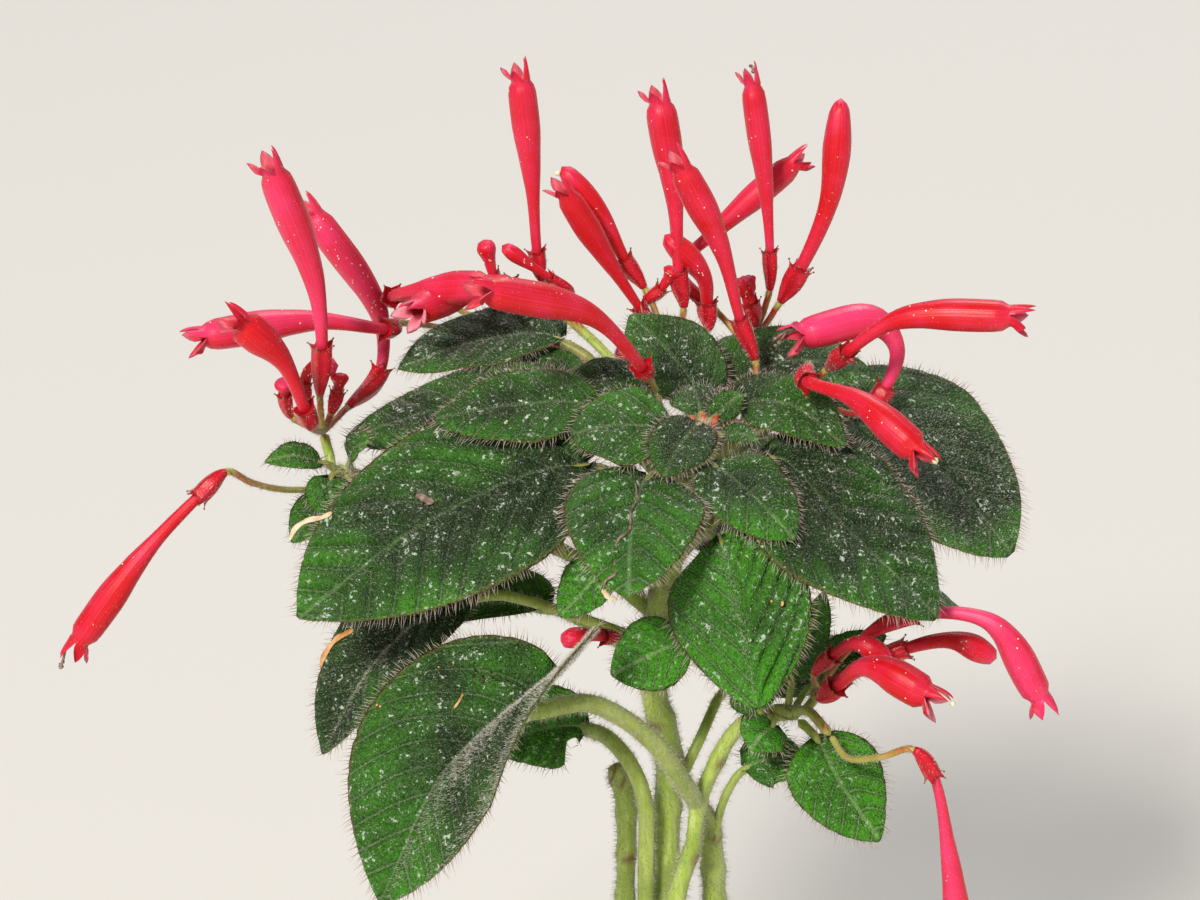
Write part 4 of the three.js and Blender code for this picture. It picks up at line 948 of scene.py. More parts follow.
def addStem(bm, rng, name, cutTop):
    look = stemLook
    line = smoothLine(stems[name]["line"])
    lower, upper = stems[name]["radii"]
    length = evenPlaces(line, 2)[1]
    count = max(2, round(length / look["nodeGap"]))
    nodes = ((np.arange(count) + 0.6) / count) ** 0.8 + rng.normal(0, 0.012, count)
    sides = rng.uniform(0, 1, len(nodes))
    phase = rng.uniform(0, 6, 2)

    def nearNode(share, reach):
        return np.exp(-(((np.asarray(share)[:, None] - nodes) * length / reach) ** 2))

    def radiusAt(angle, share):
        swell = look["nodeSwell"] * nearNode(share, look["nodeLength"]).sum(1)
        wobble = 0.05 * np.sin(2 * angle + 9 * share + phase[0])
        wobble = wobble + 0.04 * np.sin(3 * angle - 14 * share + phase[1])
        end = np.sqrt(np.clip((1 - share) * length / 1.5, 0.12, 1))
        return (lower + (upper - lower) * share) * (1 + swell + wobble) * end

    def scars(u, v):
        facing = np.clip(1.6 * np.cos(2 * math.pi * (u[:, None] - sides)) - 0.5, 0, 1)
        tone = (nearNode(v, look["scarLength"]) * facing).sum(1)
        healed = np.clip((v - 0.965) * 60, 0, 1) * cutTop
        return np.clip(tone + healed, 0, 1)

    rings = round(length / 1.1)
    surface = addTube(bm, line, radiusAt, 18, rings, rind, tone=scars)
    heights = line(evenPlaces(line, 100)[0])[:60, 2]
    first = 0.03
    if heights[0] < 100:
        first = np.interp(look["bareFoot"], heights, np.linspace(0, 1, 100)[:60])
    area = 2 * math.pi * (lower + upper) / 2 * length * (1 - first)
    addDown(bm, rng, surface, int(area * look["hairsPerArea"]), (first, 0.995), look["hairLength"], fineHair)


def addSmallLeaves(bm, name, seed):
    for number, settings in enumerate(shootLeaves.get(name, [])):
        addLeaf(bm, LeafForm({**smallLeaf, **settings}, seed + number), stemLook["petiole"])


def makeStem(node, name, cutTop=False):
    bm = newPiece()
    rng = np.random.default_rng(seeds["stem"] + len(name))
    addStem(bm, rng, name, cutTop)
    addSmallLeaves(bm, name, seeds["shootLeaf"])
    finishPiece(f"{node}_grown", bm, leafMaterials, "stem", node)


makeStem("stem_main", "main")
makeStem("stem_second", "second", cutTop=True)
makeStem("stem_stub", "stub", cutTop=True)
makeStem("shoot_right", "right")
makeStem("shoot_left", "left")
print("stems made:", len(stems))

crown = {
    "centre": (6.3, -10.3, 245), "radii": (2.2, 2.2, 4.2),
    "hairs": 260, "hairLength": (0.8, 1.6), "hairRadius": 0.06,
    "buds": 5, "budLength": 3.4, "budRadius": 0.8, "budHairs": 70, "budHairLength": (0.5, 1.0),
}


def makeCrown():
    # the growing tip: a downy knob with young orange buds among its smallest leaves
    rng = np.random.default_rng(seeds["crown"])
    bm = newPiece()
    centre, radii = np.array(crown["centre"]), np.array(crown["radii"])

    def knob(u, v):
        angle, lift = 2 * math.pi * u, math.pi * (v - 0.5)
        out = np.stack([np.cos(angle) * np.cos(lift), np.sin(angle) * np.cos(lift), np.sin(lift)], 1)
        bulge = 1 + 0.08 * np.sin(5 * angle) * np.cos(lift)
        return centre + out * radii * bulge[:, None], np.stack([np.cos(angle), np.sin(angle), v], 1)

    addSheet(bm, 24, 14, knob, rind)
    addSmallLeaves(bm, "crown", seeds["crownLeaf"])
    budSkin = len(leafMaterials)
    for number in range(crown["buds"]):
        turn = 2 * math.pi * number / crown["buds"] + 0.4
        lean = np.array([0.5 * math.cos(turn), 0.5 * math.sin(turn), 1])
        root = centre + [1.2 * math.cos(turn), 1.2 * math.sin(turn), 2.5]
        bud = smoothLine([root, root + lean * crown["budLength"] / 2, root + lean * crown["budLength"]])
        plump = lambda share: np.sqrt(np.clip(1.02 - (2 * share - 0.9) ** 2, 0.02, 1))
        swell = lambda angle, share: crown["budRadius"] * plump(share)
        surface = addTube(bm, bud, swell, 10, 10, budSkin, tone=rng.uniform(0, 0.4))
        addDown(bm, rng, surface, crown["budHairs"], (0.05, 0.95), crown["budHairLength"], fineHair)
    count = crown["hairs"]
    angle, lift = rng.uniform(0, 2 * math.pi, count), rng.uniform(-0.2, 1.4, count)
    out = np.stack([np.cos(angle) * np.cos(lift), np.sin(angle) * np.cos(lift), np.sin(lift)], 1)
    roots, ways = centre + out * radii * 0.98, unit(out + [0, 0, 0.3])
    lengths = rng.uniform(*crown["hairLength"], count)
    plantHairs(bm, rng, roots, ways, lengths, crown["hairRadius"], fineHair)
    finishPiece("crown_grown", bm, [*leafMaterials, youngBud], "leaf", "crown")


makeCrown()
print("crown made")


# Flower heads. Each is one piece: its own stem ends in a hub, and each bloom runs from there over its stalk
# to the foot of its calyx, then along its tube to the mouth. lip is the side of the two upper lobes, pink is
# how pale the bloom is and how strong the painted light is on its side that faces the key light, pale how
# pale its throat is, specks how many grains lie on it, and seed parts that hang out are fresh or dried.
# greenFor keeps a stalk green further up.
flowers = {
    "flowers_left_shoot": {"stem": [(-68, 3, 234), (-69, 5, 238), (-70, 5, 242)], "blooms": [
        {"stalk": [(-70, 1, 251)], "tube": [(-69, -2, 262), (-70, -3, 276), (-77, -6, 299)],
         "lip": (0.9, 0, 0.3), "pink": 0.5},
        {"stalk": [(-71, -4, 246)], "tube": [(-72, -10, 252), (-76, -14, 264), (-83, -17, 272)],
         "lip": (0, 0.3, 1)},
        {"stalk": [(-73, 8, 247)], "tube": [(-74, 9, 250.5), (-72.3, 9, 253.8), (-66.8, 9, 254.8)],
         "bud": True, "girth": 0.8},
        {"stalk": [(-76, 3, 246)], "tube": [(-77, 1, 251), (-77, 0, 253), (-77, -1, 255)],
         "lip": (0, 1, 0), "bud": True, "girth": 0.7},
        {"stalk": [(-68.5, 7.5, 245)], "tube": [(-67.3, 9, 248.5), (-66.8, 9.6, 250.8), (-66.6, 10, 253)],
         "lip": (0, 1, 0), "bud": True, "girth": 0.7},
        {"stalk": [(-66, 17, 243)], "tube": [(-60, 31, 246), (-60, 33, 258), (-73, 34, 279)],
         "lip": (0.7, 0, 0.7), "girth": 0.95, "pink": 0.45, "specks": 34},
    ]},
    "flower_left_drooping": {"stem": [(-58, 5.5, 230.5), (-64, 8, 228.5), (-71, 6, 229.5)], "blooms": [
        {"stalk": [(-77, -4, 233), (-83, -13, 238), (-87, -18, 242)],
         "tube": [(-92, -20, 238), (-103, -23, 227), (-116, -26, 210)],
         "lip": (-0.6, 0, 0.7), "girth": 0.9, "seedParts": "dried"},
    ]},
    "flowers_upper_left": {"stem": [("main", 222.5), (-7, 10, 231), (-16, 27, 238), (-33, 48, 246)],
                           "blooms": [
        {"stalk": [(-47, 45, 251), (-56, 33, 256)], "tube": [(-58, 23, 258), (-72, 16, 262), (-93, 6, 262)],
         "lip": (0, -0.2, 1), "pink": 0.5},
        {"stalk": [(-45, 47, 255), (-56, 37, 260)], "tube": [(-57, 29, 263), (-50, 21, 267), (-37, 14, 270)],
         "pink": 0.2, "pale": 0.8},
        {"stalk": [(-32, 49, 255)], "tube": [(-33, 46, 260), (-40, 31, 264), (-51, 14, 265)],
         "pink": 0.3, "pale": 0.9},
    ]},
    "flowers_upper_middle": {"stem": [("main", 233.2), (-2, 9, 244), (-13, 25, 252), (-22, 28, 260)],
                             "blooms": [
        {"stalk": [(-26, 27, 267)], "tube": [(-27, 26, 273), (-28, 26, 289), (-30, 26, 309)],
         "lip": (1, 0, 0), "girth": 0.85, "pink": 0.2},
        {"stalk": [(-33, 30, 263)], "tube": [(-36, 30, 267), (-37, 30, 271), (-38, 30, 275)],
         "lip": (1, 0, 0), "bud": True, "girth": 0.75},
        {"stalk": [(-20, 25, 265)], "tube": [(-24, 22, 269), (-29, 20, 273), (-34, 19, 277)],
         "bud": True, "girth": 0.6},
    ]},
    "flower_front_arching": {"stem": [("main", 241.6), (0.5, -9.3, 243.7), (-2.5, -6.5, 249), (-3, -5, 254)],
                             "blooms": [
        {"stalk": [(-5, -9, 259)], "tube": [(-6, -14, 262), (-16, -24, 276), (-35, -34, 284)],
         "lip": (0, -0.1, 1), "pink": 0.1},
    ]},
    "flowers_rear_centre": {"stem": [("main", 230.8), (4, 10, 242), (1, 24, 252)], "blooms": [
        {"stalk": [(-3, 25, 257)], "tube": [(-6, 24, 262), (-12, 22, 272), (-21, 18, 288)],
         "lip": (0.7, 0, 0.7), "girth": 0.8, "seedParts": "fresh"},
        {"stalk": [(-5, 28, 265)], "tube": [(-9, 28, 271), (-13, 28, 279), (-22, 28, 291)],
         "lip": (0.7, 0, 0.7), "bud": True, "girth": 0.95},
        {"stalk": [(3, 27, 261)], "tube": [(2, 28, 268), (1, 31, 284), (-2, 32, 303)],
         "lip": (0.8, 0, 0.4), "girth": 0.95, "pink": 0.2},
        {"stalk": [(-5, 27, 262)], "tube": [(-2, 27, 265), (0, 27, 268), (1, 27, 270)],
         "bud": True, "girth": 0.7},
        {"stalk": [(8, 31, 255)], "tube": [(8, 32, 260), (7, 31, 267), (-1, 30, 276)],
         "lip": (0.8, 0, 0.6), "bud": True},
    ]},
    "flower_crown_tall": {"stem": [("main", 233.5), (12, 0, 241), (17, 5.5, 249)], "blooms": [
        {"stalk": [(17, 8, 256)], "tube": [(14, 9, 264), (10, 9, 279), (2, 8, 296)],
         "lip": (0.8, 0, 0.4), "girth": 0.9, "pink": 0.15},
    ]},
    "flowers_rear_right": {"stem": [("main", 227.2), (10, 16, 239), (17, 34, 250)], "blooms": [
        {"stalk": [(21, 36, 262)], "tube": [(21, 36, 270), (20, 37, 283), (17, 39, 305)],
         "lip": (1, 0, 0), "girth": 0.75, "seedParts": "dried", "pink": 0.2},
        {"stalk": [(23, 34, 260)], "tube": [(27, 34, 267), (33, 35, 282), (35, 37, 303)],
         "lip": (1, 0, 0), "bud": True, "girth": 1.1},
        {"stalk": [(10, 39, 257)], "tube": [(2, 42, 264), (11, 46, 273), (26, 48, 286)],
         "girth": 0.85, "pink": 0.15},
        {"stalk": [(18, 31, 256)], "tube": [(17, 30, 261), (16, 30, 264), (15, 30, 267)],
         "bud": True, "girth": 0.9, "wilted": True},
    ]},
    "flowers_right_arching": {"stem": [("main", 237.4), (14, -3, 244), (26, 6, 249)], "blooms": [
        {"stalk": [(38.5, 6.5, 245.5)], "tube": [(43, 8, 250), (45.5, 9.5, 258), (41, 9, 264), (26, 4, 263)],
         "lip": (0, 1, 0.4), "girth": 1.05, "pink": 0.6, "seedParts": "dried"},
        {"stalk": [(31, 3, 256)], "tube": [(34, -5, 262), (44, -8, 270), (65, -12, 272)],
         "girth": 0.95},
        {"stalk": [(27, 6, 255), (27, -5, 259)], "tube": [(26, -13, 259), (35, -21, 258), (46, -30, 251)],
         "lip": (0.2, 0, 1), "seedParts": "fresh"},
    ]},
    "flowers_low_right": {"stem": [(27, -8, 186), (29, -7, 188), (30, -7, 191)], "blooms": [
        {"stalk": [(38, -12, 204)], "tube": [(48, -16, 211), (63, -20, 211), (73, -22, 196)],
         "lip": (0.3, 0, 1), "girth": 0.95, "pink": 0.5},
        {"stalk": [(30, -12, 191)], "tube": [(33, -15, 195), (39, -21, 202), (50, -28, 199)],
         "girth": 1.1, "seedParts": "fresh", "pale": 0.9},
        {"stalk": [(38, -8, 195)], "tube": [(47, -8, 200), (57, -8, 202), (66, -8, 198)],
         "bud": True},
        {"stalk": [(29, -11, 196)], "tube": [(32, -12, 200), (37, -14, 204), (44, -16, 201)],
         "bud": True, "girth": 0.85},
    ]},
    "flower_low_right_hanging": {"stem": [(25, -7.5, 186), (28, -13, 188.5), (32, -19, 186)], "blooms": [
        {"stalk": [(35, -25, 184), (41, -31, 187), (47, -34, 190)],
         "tube": [(51, -34, 185), (55, -34, 167), (59, -34, 140)],
         "lip": (1, 0, 0.2), "girth": 0.85, "pink": 0.5, "greenFor": 3},
    ]},
    "bud_front": {"stem": [("main", 197), (-5, -6, 200), (-7, -8, 202)], "blooms": [
        {"stalk": [(-10, -11, 204)], "tube": [(-13, -13, 205), (-17, -17, 207), (-22, -20, 207)],
         "bud": True, "girth": 0.8},
    ]},
    "flowers_rear_left_low": {"stem": [("main", 225.5), (-5, 20, 235), (-11, 42, 238)], "blooms": [
        {"stalk": [(-16, 51, 240)], "tube": [(-21, 58, 241), (-32, 70, 238), (-44, 79, 227)],
         "pink": 0.2},
        {"stalk": [(-10, 51, 240)], "tube": [(-9, 58, 241), (-7, 71, 237), (-5, 83, 226)],
         "seedParts": "fresh"},
    ]},
    "flowers_rear_right_low": {"stem": [("main", 223.4), (14, 16, 234), (28, 36, 236)], "blooms": [
        {"stalk": [(34, 43, 237)], "tube": [(39, 48, 237), (50, 58, 232), (60, 65, 220)],
         "pink": 0.3},
        {"stalk": [(30, 46, 238)], "tube": [(31, 53, 239), (33, 67, 235), (36, 80, 224)],
         "girth": 0.9},
        {"stalk": [(32, 36, 240)], "tube": [(35, 37, 242), (37, 38, 244), (39, 40, 246)],
         "bud": True, "girth": 0.8},
    ]},
}

# What all flowers share, in millimetres at girth 1. A profile runs from the calyx to the mouth.
bloomForm = {
    "headStem": 1.0,
    "stalk": 0.65,
    "foot": 0.75,
    "calyx": 2.0,
    "toothRadius": 0.7,  # how far a calyx tooth stands outward
    "toothReach": (0.5, 1.0),  # how far the calyx runs on between its teeth, and how much further on them
    "tubeProfile": [(0, 1.1), (0.04, 1.15), (0.33, 1.5), (0.6, 2.55), (0.8, 3.4), (0.92, 3.3), (1, 2.2)],
    "budProfile": [(0, 1.1), (0.06, 1.2), (0.4, 1.6), (0.75, 2.7), (0.92, 2.0), (0.985, 0.9), (1, 0.3)],
    "hood": {"reach": 5.2, "flare": -0.6},
    "spread": {"reach": 3.4, "flare": 2.3},
    "point": 0.85,  # below 1 the lobes are narrow and pointed, above it broad
    "notch": 0.3,
    "ribHeight": 0.13,  # how far a calyx's ribs stand out, as a share of its radius
    "wall": 0.35,
    "throat": 7,
    "meanWidth": 4.4,
    "fuzzPerArea": 0.6,  # fine hairs on a square millimetre of the tube, as for the stalk and the stem below
    "fuzzLength": (0.25, 0.5),
    "fuzzRadius": 0.035,
    # roughly the way to the key light: the petals' painted light is strongest where they face it, and grains
    # of pollen lie on that side
    "lightSide": (-0.4, -0.65, 0.64),
    "calyxHairs": 150,
    "calyxHairLength": (0.3, 0.7),
    "calyxHairRadius": 0.04,
    "stalkHairs": 2.4,
    "stalkHairLength": (0.4, 0.9),
    "stalkHairRadius": 0.045,
    "stemHairs": 2.6,
    "stemHairLength": (0.6, 1.2),
    "threadRadii": (0.24, 0.18),
    "specks": 5,
}
flowerMaterials = [petalRed, petalInside, calyxRed, stalkRind, paleHair, creamFlesh, witheredBrown, scarCork]
petalSkin, throatSkin, calyxSkin, stalkSkin, palestHair, stigmaFlesh, witheredThread, toothCork = range(8)


def smoothProfile(points):
    fine = smoothLine([(place, radius, 0) for place, radius in points])(np.linspace(0, 1, 90))
    return lambda place: np.interp(place, fine[:, 0], fine[:, 1])


tubeProfile = smoothProfile(bloomForm["tubeProfile"])
budProfile = smoothProfile(bloomForm["budProfile"])


class BloomForm:
    # one bloom: its line from the hub to the mouth, and the skins of its calyx and its petals

    def __init__(self, hub, settings, rng):
        stalk, tube = settings["stalk"], settings["tube"]
        self.settings = settings
        self.lip = settings.get("lip", (0, 0, 1))
        self.line = smoothLine([hub, *stalk, *tube])
        steps = len(stalk) + len(tube)
        self.foot = len(stalk) / steps
        self.waist = (len(stalk) + 1) / steps
        self.girth = settings.get("girth", 1)
        self.isBud = settings.get("bud", False)
        self.pink = settings.get("pink", 0.05)
        fine = self.line(np.linspace(self.waist, 1, 40))
        self.length = np.linalg.norm(np.diff(fine, axis=0), axis=1).sum()
        self.phase = rng.uniform(0, 6, 3)

    def lay(self, angle, place, radius, reach):
        centre, along, up, side = sectionAt(self.line, place, self.lip)
        out = up * np.cos(angle)[:, None] + side * np.sin(angle)[:, None]
        reach = np.broadcast_to(reach, len(angle))
        return centre + out * np.asarray(radius)[:, None] + along * reach[:, None], out, along

    def calyx(self, u, v):
        form = bloomForm
        angle = 2 * math.pi * u
        near = 1 - np.abs((5 * u) % 1 - 0.5) * 2  # 1 on a tooth, 0 between two
        place = np.interp(v, [0.03, 0.6], [self.foot, self.waist])
        share = (place - self.foot) / (self.waist - self.foot)
        widening = np.sin(1.9 * share**1.1) / math.sin(1.9)
        cone = form["foot"] + (form["calyx"] * self.girth - form["foot"]) * widening
        ribs = 1 + form["ribHeight"] * (near**1.5 - 0.4) * np.minimum(1, 3 * share)
        out = np.interp(v, [0.6, 0.82, 0.92], [0, 1, 0])
        point = near**1.7
        lean = 1 + 0.12 * np.sin(angle + self.phase[0])
        radius = cone * ribs + form["toothRadius"] * self.girth * point * out**1.3 * lean
        reach = out * (form["toothReach"][0] + form["toothReach"][1] * point)
        inner = np.interp(v, [0.82, 0.92], [0, 0.3])
        radius = (radius - inner) * np.interp(v, [0, 0.03, 0.92, 1], [0, 1, 1, 0])
        return self.lay(angle, place, radius, reach)

    def skin(self, u, place, spread):
        # radius and reach of the petals: place runs along the tube, and spread over the lobes
        form = bloomForm
        angle = 2 * math.pi * u
        near = 1 - np.abs((5 * u) % 1 - 0.5) * 2  # 1 on a lobe's middle, 0 between two
        isHood = np.cos(angle) > math.cos(math.radians(72.1))  # the two upper lobes
        flare = np.where(isHood, form["hood"]["flare"], form["spread"]["flare"])
        longest = np.where(isHood, form["hood"]["reach"], form["spread"]["reach"])
        rim = form["notch"] + (longest - form["notch"]) * near ** form["point"]
        profile = budProfile(place) if self.isBud else tubeProfile(place)
        ridge = 1 + 0.03 * (near - 0.5) * np.clip(4 * place, 0, 1)
        dents = 1 + 0.02 * np.sin(2 * angle + 5 * place + self.phase[1])
        dents = dents + 0.015 * np.sin(13 * place + self.phase[2])
        if self.isBud:
            # the folded lobes lie over each other near the tip
            dents = dents + 0.1 * np.clip((place - 0.7) * 4, 0, 1) * (((5 * u + 0.8 * place) % 1) - 0.5)
        if self.settings.get("wilted"):
            dents = dents + 0.16 * np.sin(9 * angle + 7 * place) + 0.1 * np.sin(16 * place)
        radius = profile * ridge * dents
        radius = radius + flare * spread**1.5 * np.sqrt(near)
        radius = radius + 0.25 * isHood * np.sin(math.pi * spread) * near
        reach = rim * np.sin(spread * 1.35) / math.sin(1.35)
        ruffle = 0.18 * spread**2 * np.sin(14 * math.pi * u + self.phase[1])
        return angle, radius * self.girth + ruffle, reach

    def petals(self, u, v):
        last = 1.0 if self.isBud else 0.74
        place = np.interp(v, [0.03, last], [0, 1])
        spread = np.interp(v, [last, 1], [0, 1]) if not self.isBud else np.zeros(len(v))
        angle, radius, reach = self.skin(u, place, spread)
        radius = radius * np.interp(v, [0, 0.03, 0.999, 1], [0, 1, 1, 0 if self.isBud else 1])
        return self.lay(angle, self.waist + (1 - self.waist) * place, radius, reach)

    def inside(self, u, v):
        # from the edge of the lobes back to the mouth, and down to the throat's closed end
        depth = min(0.6, bloomForm["throat"] / self.length)
        spread = np.interp(v, [0, 0.45], [1, 0])
        place = np.interp(v, [0.45, 0.9], [1, 1 - depth])
        angle, radius, reach = self.skin(u, place, spread)
        wall = bloomForm["wall"] * (1 - spread**6)
        radius = np.maximum(radius - wall, 0.3) * np.interp(v, [0.9, 1], [1, 0])
        return self.lay(angle, self.waist + (1 - self.waist) * place, radius, reach)


def addBloom(bm, rng, hub, settings):
    form = BloomForm(hub, settings, rng)
    look = bloomForm

    def skin(shape):
        def sheet(u, v):
            angle = 2 * math.pi * u
            return shape(u, v)[0], np.stack([np.cos(angle), np.sin(angle), v], 1)
        return sheet

    # Stalk, green at its root and red towards the flower
    stalkEnd = form.foot + 0.02
    uneven = lambda angle, share: 1 + 0.15 * share**6 + 0.06 * np.sin(3 * angle + 20 * share)
    radiusAt = lambda angle, share: look["stalk"] * uneven(angle, share)
    stalkSteps = 5 + 9 * len(settings["stalk"])
    greenFor = settings.get("greenFor", 1)
    blush = lambda u, v: np.clip(0.25 / greenFor + 0.75 * v**greenFor + 0.2 * np.cos(2 * math.pi * u), 0, 1)
    surface = addTube(bm, form.line, radiusAt, 10, stalkSteps, stalkSkin, blush, end=stalkEnd, even=False)
    stalkLine = form.line(np.linspace(0, form.foot, 30))
    stalkLength = np.linalg.norm(np.diff(stalkLine, axis=0), axis=1).sum()
    count = int(2 * math.pi * look["stalk"] * stalkLength * look["stalkHairs"])
    span, radius = (0.05, 0.98), look["stalkHairRadius"]
    addDown(bm, rng, surface, count, span, look["stalkHairLength"], palestHair, radius)

    # Calyx with dark tips to its teeth
    ribbed = lambda u, v: 0.25 * np.cos(10 * math.pi * u) * (v < 0.6)
    dark = lambda u, v: 0.45 - 0.45 * np.clip((v - 0.6) * 6, 0, 1) + ribbed(u, v)
    addSheet(bm, 40, 17, skin(form.calyx), calyxSkin, tone=dark)
    tips = form.calyx((np.arange(5) + 0.5) / 5, np.full(5, 0.81))[0]
    strewGrains(bm, rng, tips, 0.22 * form.girth + 0.06, toothCork, 0.8)
    count = look["calyxHairs"]
    u, v = rng.uniform(0, 1, count), rng.uniform(0.1, 0.75, count)
    points, out, along = form.calyx(u, v)
    ways = unit(out + 0.3 * along + rng.normal(0, 0.25, out.shape))
    lengths = rng.uniform(*look["calyxHairLength"], count)
    plantHairs(bm, rng, points - 0.05 * out, ways, lengths, look["calyxHairRadius"], palestHair)

    # Petals, with painted light: paler on the side that faces the key light, and paler towards the edge
    def pale(u, v):
        litShare = np.clip(form.petals(u, v)[1] @ look["lightSide"], 0, 1)
        return np.clip(form.pink * (0.3 + 1.5 * litShare**1.5) + 0.2 * np.clip(4 * v - 3, 0, 1), 0, 1)

    rows = max(14, round(form.length / 0.9))
    addSheet(bm, 40, rows, skin(form.petals), petalSkin, tone=pale)
    if not form.isBud:
        deepening = lambda u, v: np.clip(1 - 1.3 * v, 0, 1) * settings.get("pale", 0.2)
        addSheet(bm, 40, 13, skin(form.inside), throatSkin, tone=deepening)
        bmesh.ops.remove_doubles(bm, verts=[vert for vert in bm.verts if vert.is_boundary], dist=1e-4)
    area = math.pi * look["meanWidth"] * form.girth * form.length
    count = int(area * look["fuzzPerArea"])
    u, v = rng.uniform(0, 1, count), rng.uniform(0.08, 0.98 if form.isBud else 0.8, count)
    points, out, along = form.petals(u, v)
    ways = unit(out + 0.4 * along + rng.normal(0, 0.2, out.shape))
    lengths = rng.uniform(*look["fuzzLength"], count)
    plantHairs(bm, rng, points - 0.05 * out, ways, lengths, look["fuzzRadius"], palestHair)

    # Grains of pollen and nectar on the side that looks up
    count = settings.get("specks", look["specks"])
    u, v = rng.uniform(0, 1, 12 * count), rng.uniform(0.4, 0.74, 12 * count)
    points, out, _ = form.petals(u, v)
    seen = np.flatnonzero(out @ look["lightSide"] > 0.5)[:count]
    sizes = rng.uniform(0.1, 0.24, len(seen))
    strewGrains(bm, rng, points[seen] + 0.08 * out[seen], sizes, stigmaFlesh, 0.8)

    if "seedParts" in settings:
        addSeedParts(bm, rng, form)


def addSeedParts(bm, rng, form):
    # the style under the hood, with its round stigma, or what is left of it and of the stamens
    isDried = form.settings["seedParts"] == "dried"
    count, material = (4, witheredThread) if isDried else (1, stigmaFlesh)
    thick, thin = bloomForm["threadRadii"]
    mouth = sectionAt(form.line, np.array([1.0]), form.lip)
    centre, along, up, side = (value[0] for value in mouth)
    for _ in range(count):
        sway = rng.uniform(-1, 1, 2) * (1.2 if isDried else 0.15)
        start = centre - 4 * along + up * 1.2 * form.girth
        bend = centre + along * 2 + up * 1.5 * form.girth + side * 0.5 * sway[0]
        end = centre + along * rng.uniform(4.5, 6) + up * (0.8 + 0.5 * sway[1]) + side * sway[0]
        if isDried:
            end = end - [0, 0, 1.5]
        thread = smoothLine([start, bend, end])
        taper = lambda angle, share: thick - (thick - thin) * share
        addTube(bm, thread, taper, 8, 10, material, tone=rng.uniform(0, 0.5))
        strewGrains(bm, rng, end[None], 0.5 if isDried else 0.75, material, 0.8)


def makeFlowers():
    for number, (name, head) in enumerate(flowers.items()):
        rng = np.random.default_rng(seeds["flower"] + number)
        bm = newPiece()
        path = [rootOf(place) for place in head["stem"]]
        line = smoothLine(path)
        length = evenPlaces(line, 2)[1]
        radiusAt = lambda angle, share: bloomForm["headStem"] * (1 + 0.06 * np.sin(3 * angle + 15 * share))
        blush = lambda u, v: 0.35 * v * (0.5 + 0.5 * np.cos(2 * math.pi * u))
        surface = addTube(bm, line, radiusAt, 12, max(8, round(length / 1.2)), stalkSkin, blush)
        count = int(2 * math.pi * bloomForm["headStem"] * length * bloomForm["stemHairs"])
        addDown(bm, rng, surface, count, (0.06, 0.98), bloomForm["stemHairLength"], palestHair)
        for settings in head["blooms"]:
            addBloom(bm, rng, path[-1], settings)
        finishPiece(f"{name}_grown", bm, flowerMaterials, "flower", name)


makeFlowers()
print("flower heads made:", len(flowers))


# What lies on the leaves: withered threads and strips of old flowers, and crumbs. A route's points are
# (across, place) on the leaf, and then (x, y, z) where it hangs over the edge. size is width and height.
litter = {
    "lift": 0.45,
    "strips": [
        {"leaf": "leaf_front_centre", "size": (0.55, 0.45), "look": "thread",
         "route": [(0.16, 0.14), (0.02, 0.3), (0.06, 0.46), (0.04, 0.6), (0.21, 0.68), (0.3, 0.79),
                   (0.45, 0.88)],
         "hangs": [(-13.2, -52.6, 233.2), (-13.6, -53.2, 231.4)]},
        {"leaf": "leaf_front_centre", "size": (1.2, 0.4), "look": "cream",
         "hangs": [(-13.8, -52.9, 231.8), (-12.6, -53.6, 230.4), (-10.9, -54.2, 230.2)]},
        {"leaf": "leaf_front_left_large", "size": (1.3, 0.35), "look": "cream",
         "route": [(0.86, 0.7), (0.96, 0.73)],
         "hangs": [(-71.6, -18.4, 232), (-73.9, -18.6, 230.4), (-75.2, -18.8, 227.8)]},
        {"leaf": "leaf_left_behind", "size": (1.4, 0.4), "look": "straw",
         "route": [(0.66, 0.51), (0.78, 0.55), (0.88, 0.58), (0.98, 0.65), (0.97, 0.7)]},
        {"leaf": "leaf_front_left_large", "size": (2.0, 0.5), "look": "thread",
         "route": [(0.31, 0.49), (0.22, 0.475), (0.15, 0.46)]},
        {"leaf": "leaf_low_left_large", "size": (0.5, 0.4), "look": "straw",
         "route": [(0.45, 0.27), (0.38, 0.3), (0.36, 0.33)]},
    ],
    "crumbs": [
        {"leaf": "leaf_low_left_large", "at": (0.52, 0.165), "spread": (0.05, 0.03), "count": 9,
         "size": 0.45, "look": "peat"},
        {"leaf": "leaf_low_left_large", "at": (0.79, 0.26), "spread": (0.03, 0.02), "count": 2,
         "size": 0.35, "look": "straw"},
        {"leaf": "leaf_low_left_large", "at": (0.93, 0.51), "spread": (0.03, 0.02), "count": 2,
         "size": 0.4, "look": "straw"},
        {"leaf": "leaf_upper_left_short", "at": (-0.5, 0.56), "spread": (0.02, 0.01), "count": 2,
         "size": 0.4, "look": "cream"},
        {"leaf": "leaf_front_quilted", "at": (-0.56, 0.45), "spread": (0.04, 0.01), "count": 4,
         "size": 0.4, "look": "straw"},
    ],
}
litterMaterials = {"thread": witheredBrown, "cream": creamStrip, "straw": strawDry, "peat": peatCrumb}


def addStrip(bm, points, upper, width, thickness, material):
    line = smoothLine(points)

    def shape(u, v):
        centre, _, up, side = sectionAt(line, v, upper)
        angle = 2 * math.pi * u
        size = np.sqrt(np.clip(1 - np.abs(2 * v - 1) ** 5, 0, 1)) * (1 + 0.15 * np.sin(19 * v))
        wide = side * (width / 2 * np.cos(angle) * size)[:, None]
        return centre + wide + up * (thickness / 2 * np.sin(angle) * size)[:, None], centre * 0

    addSheet(bm, 8, 3 * len(points) + 6, shape, material, turned=True, tone=lambda u, v: 0.3 * v)


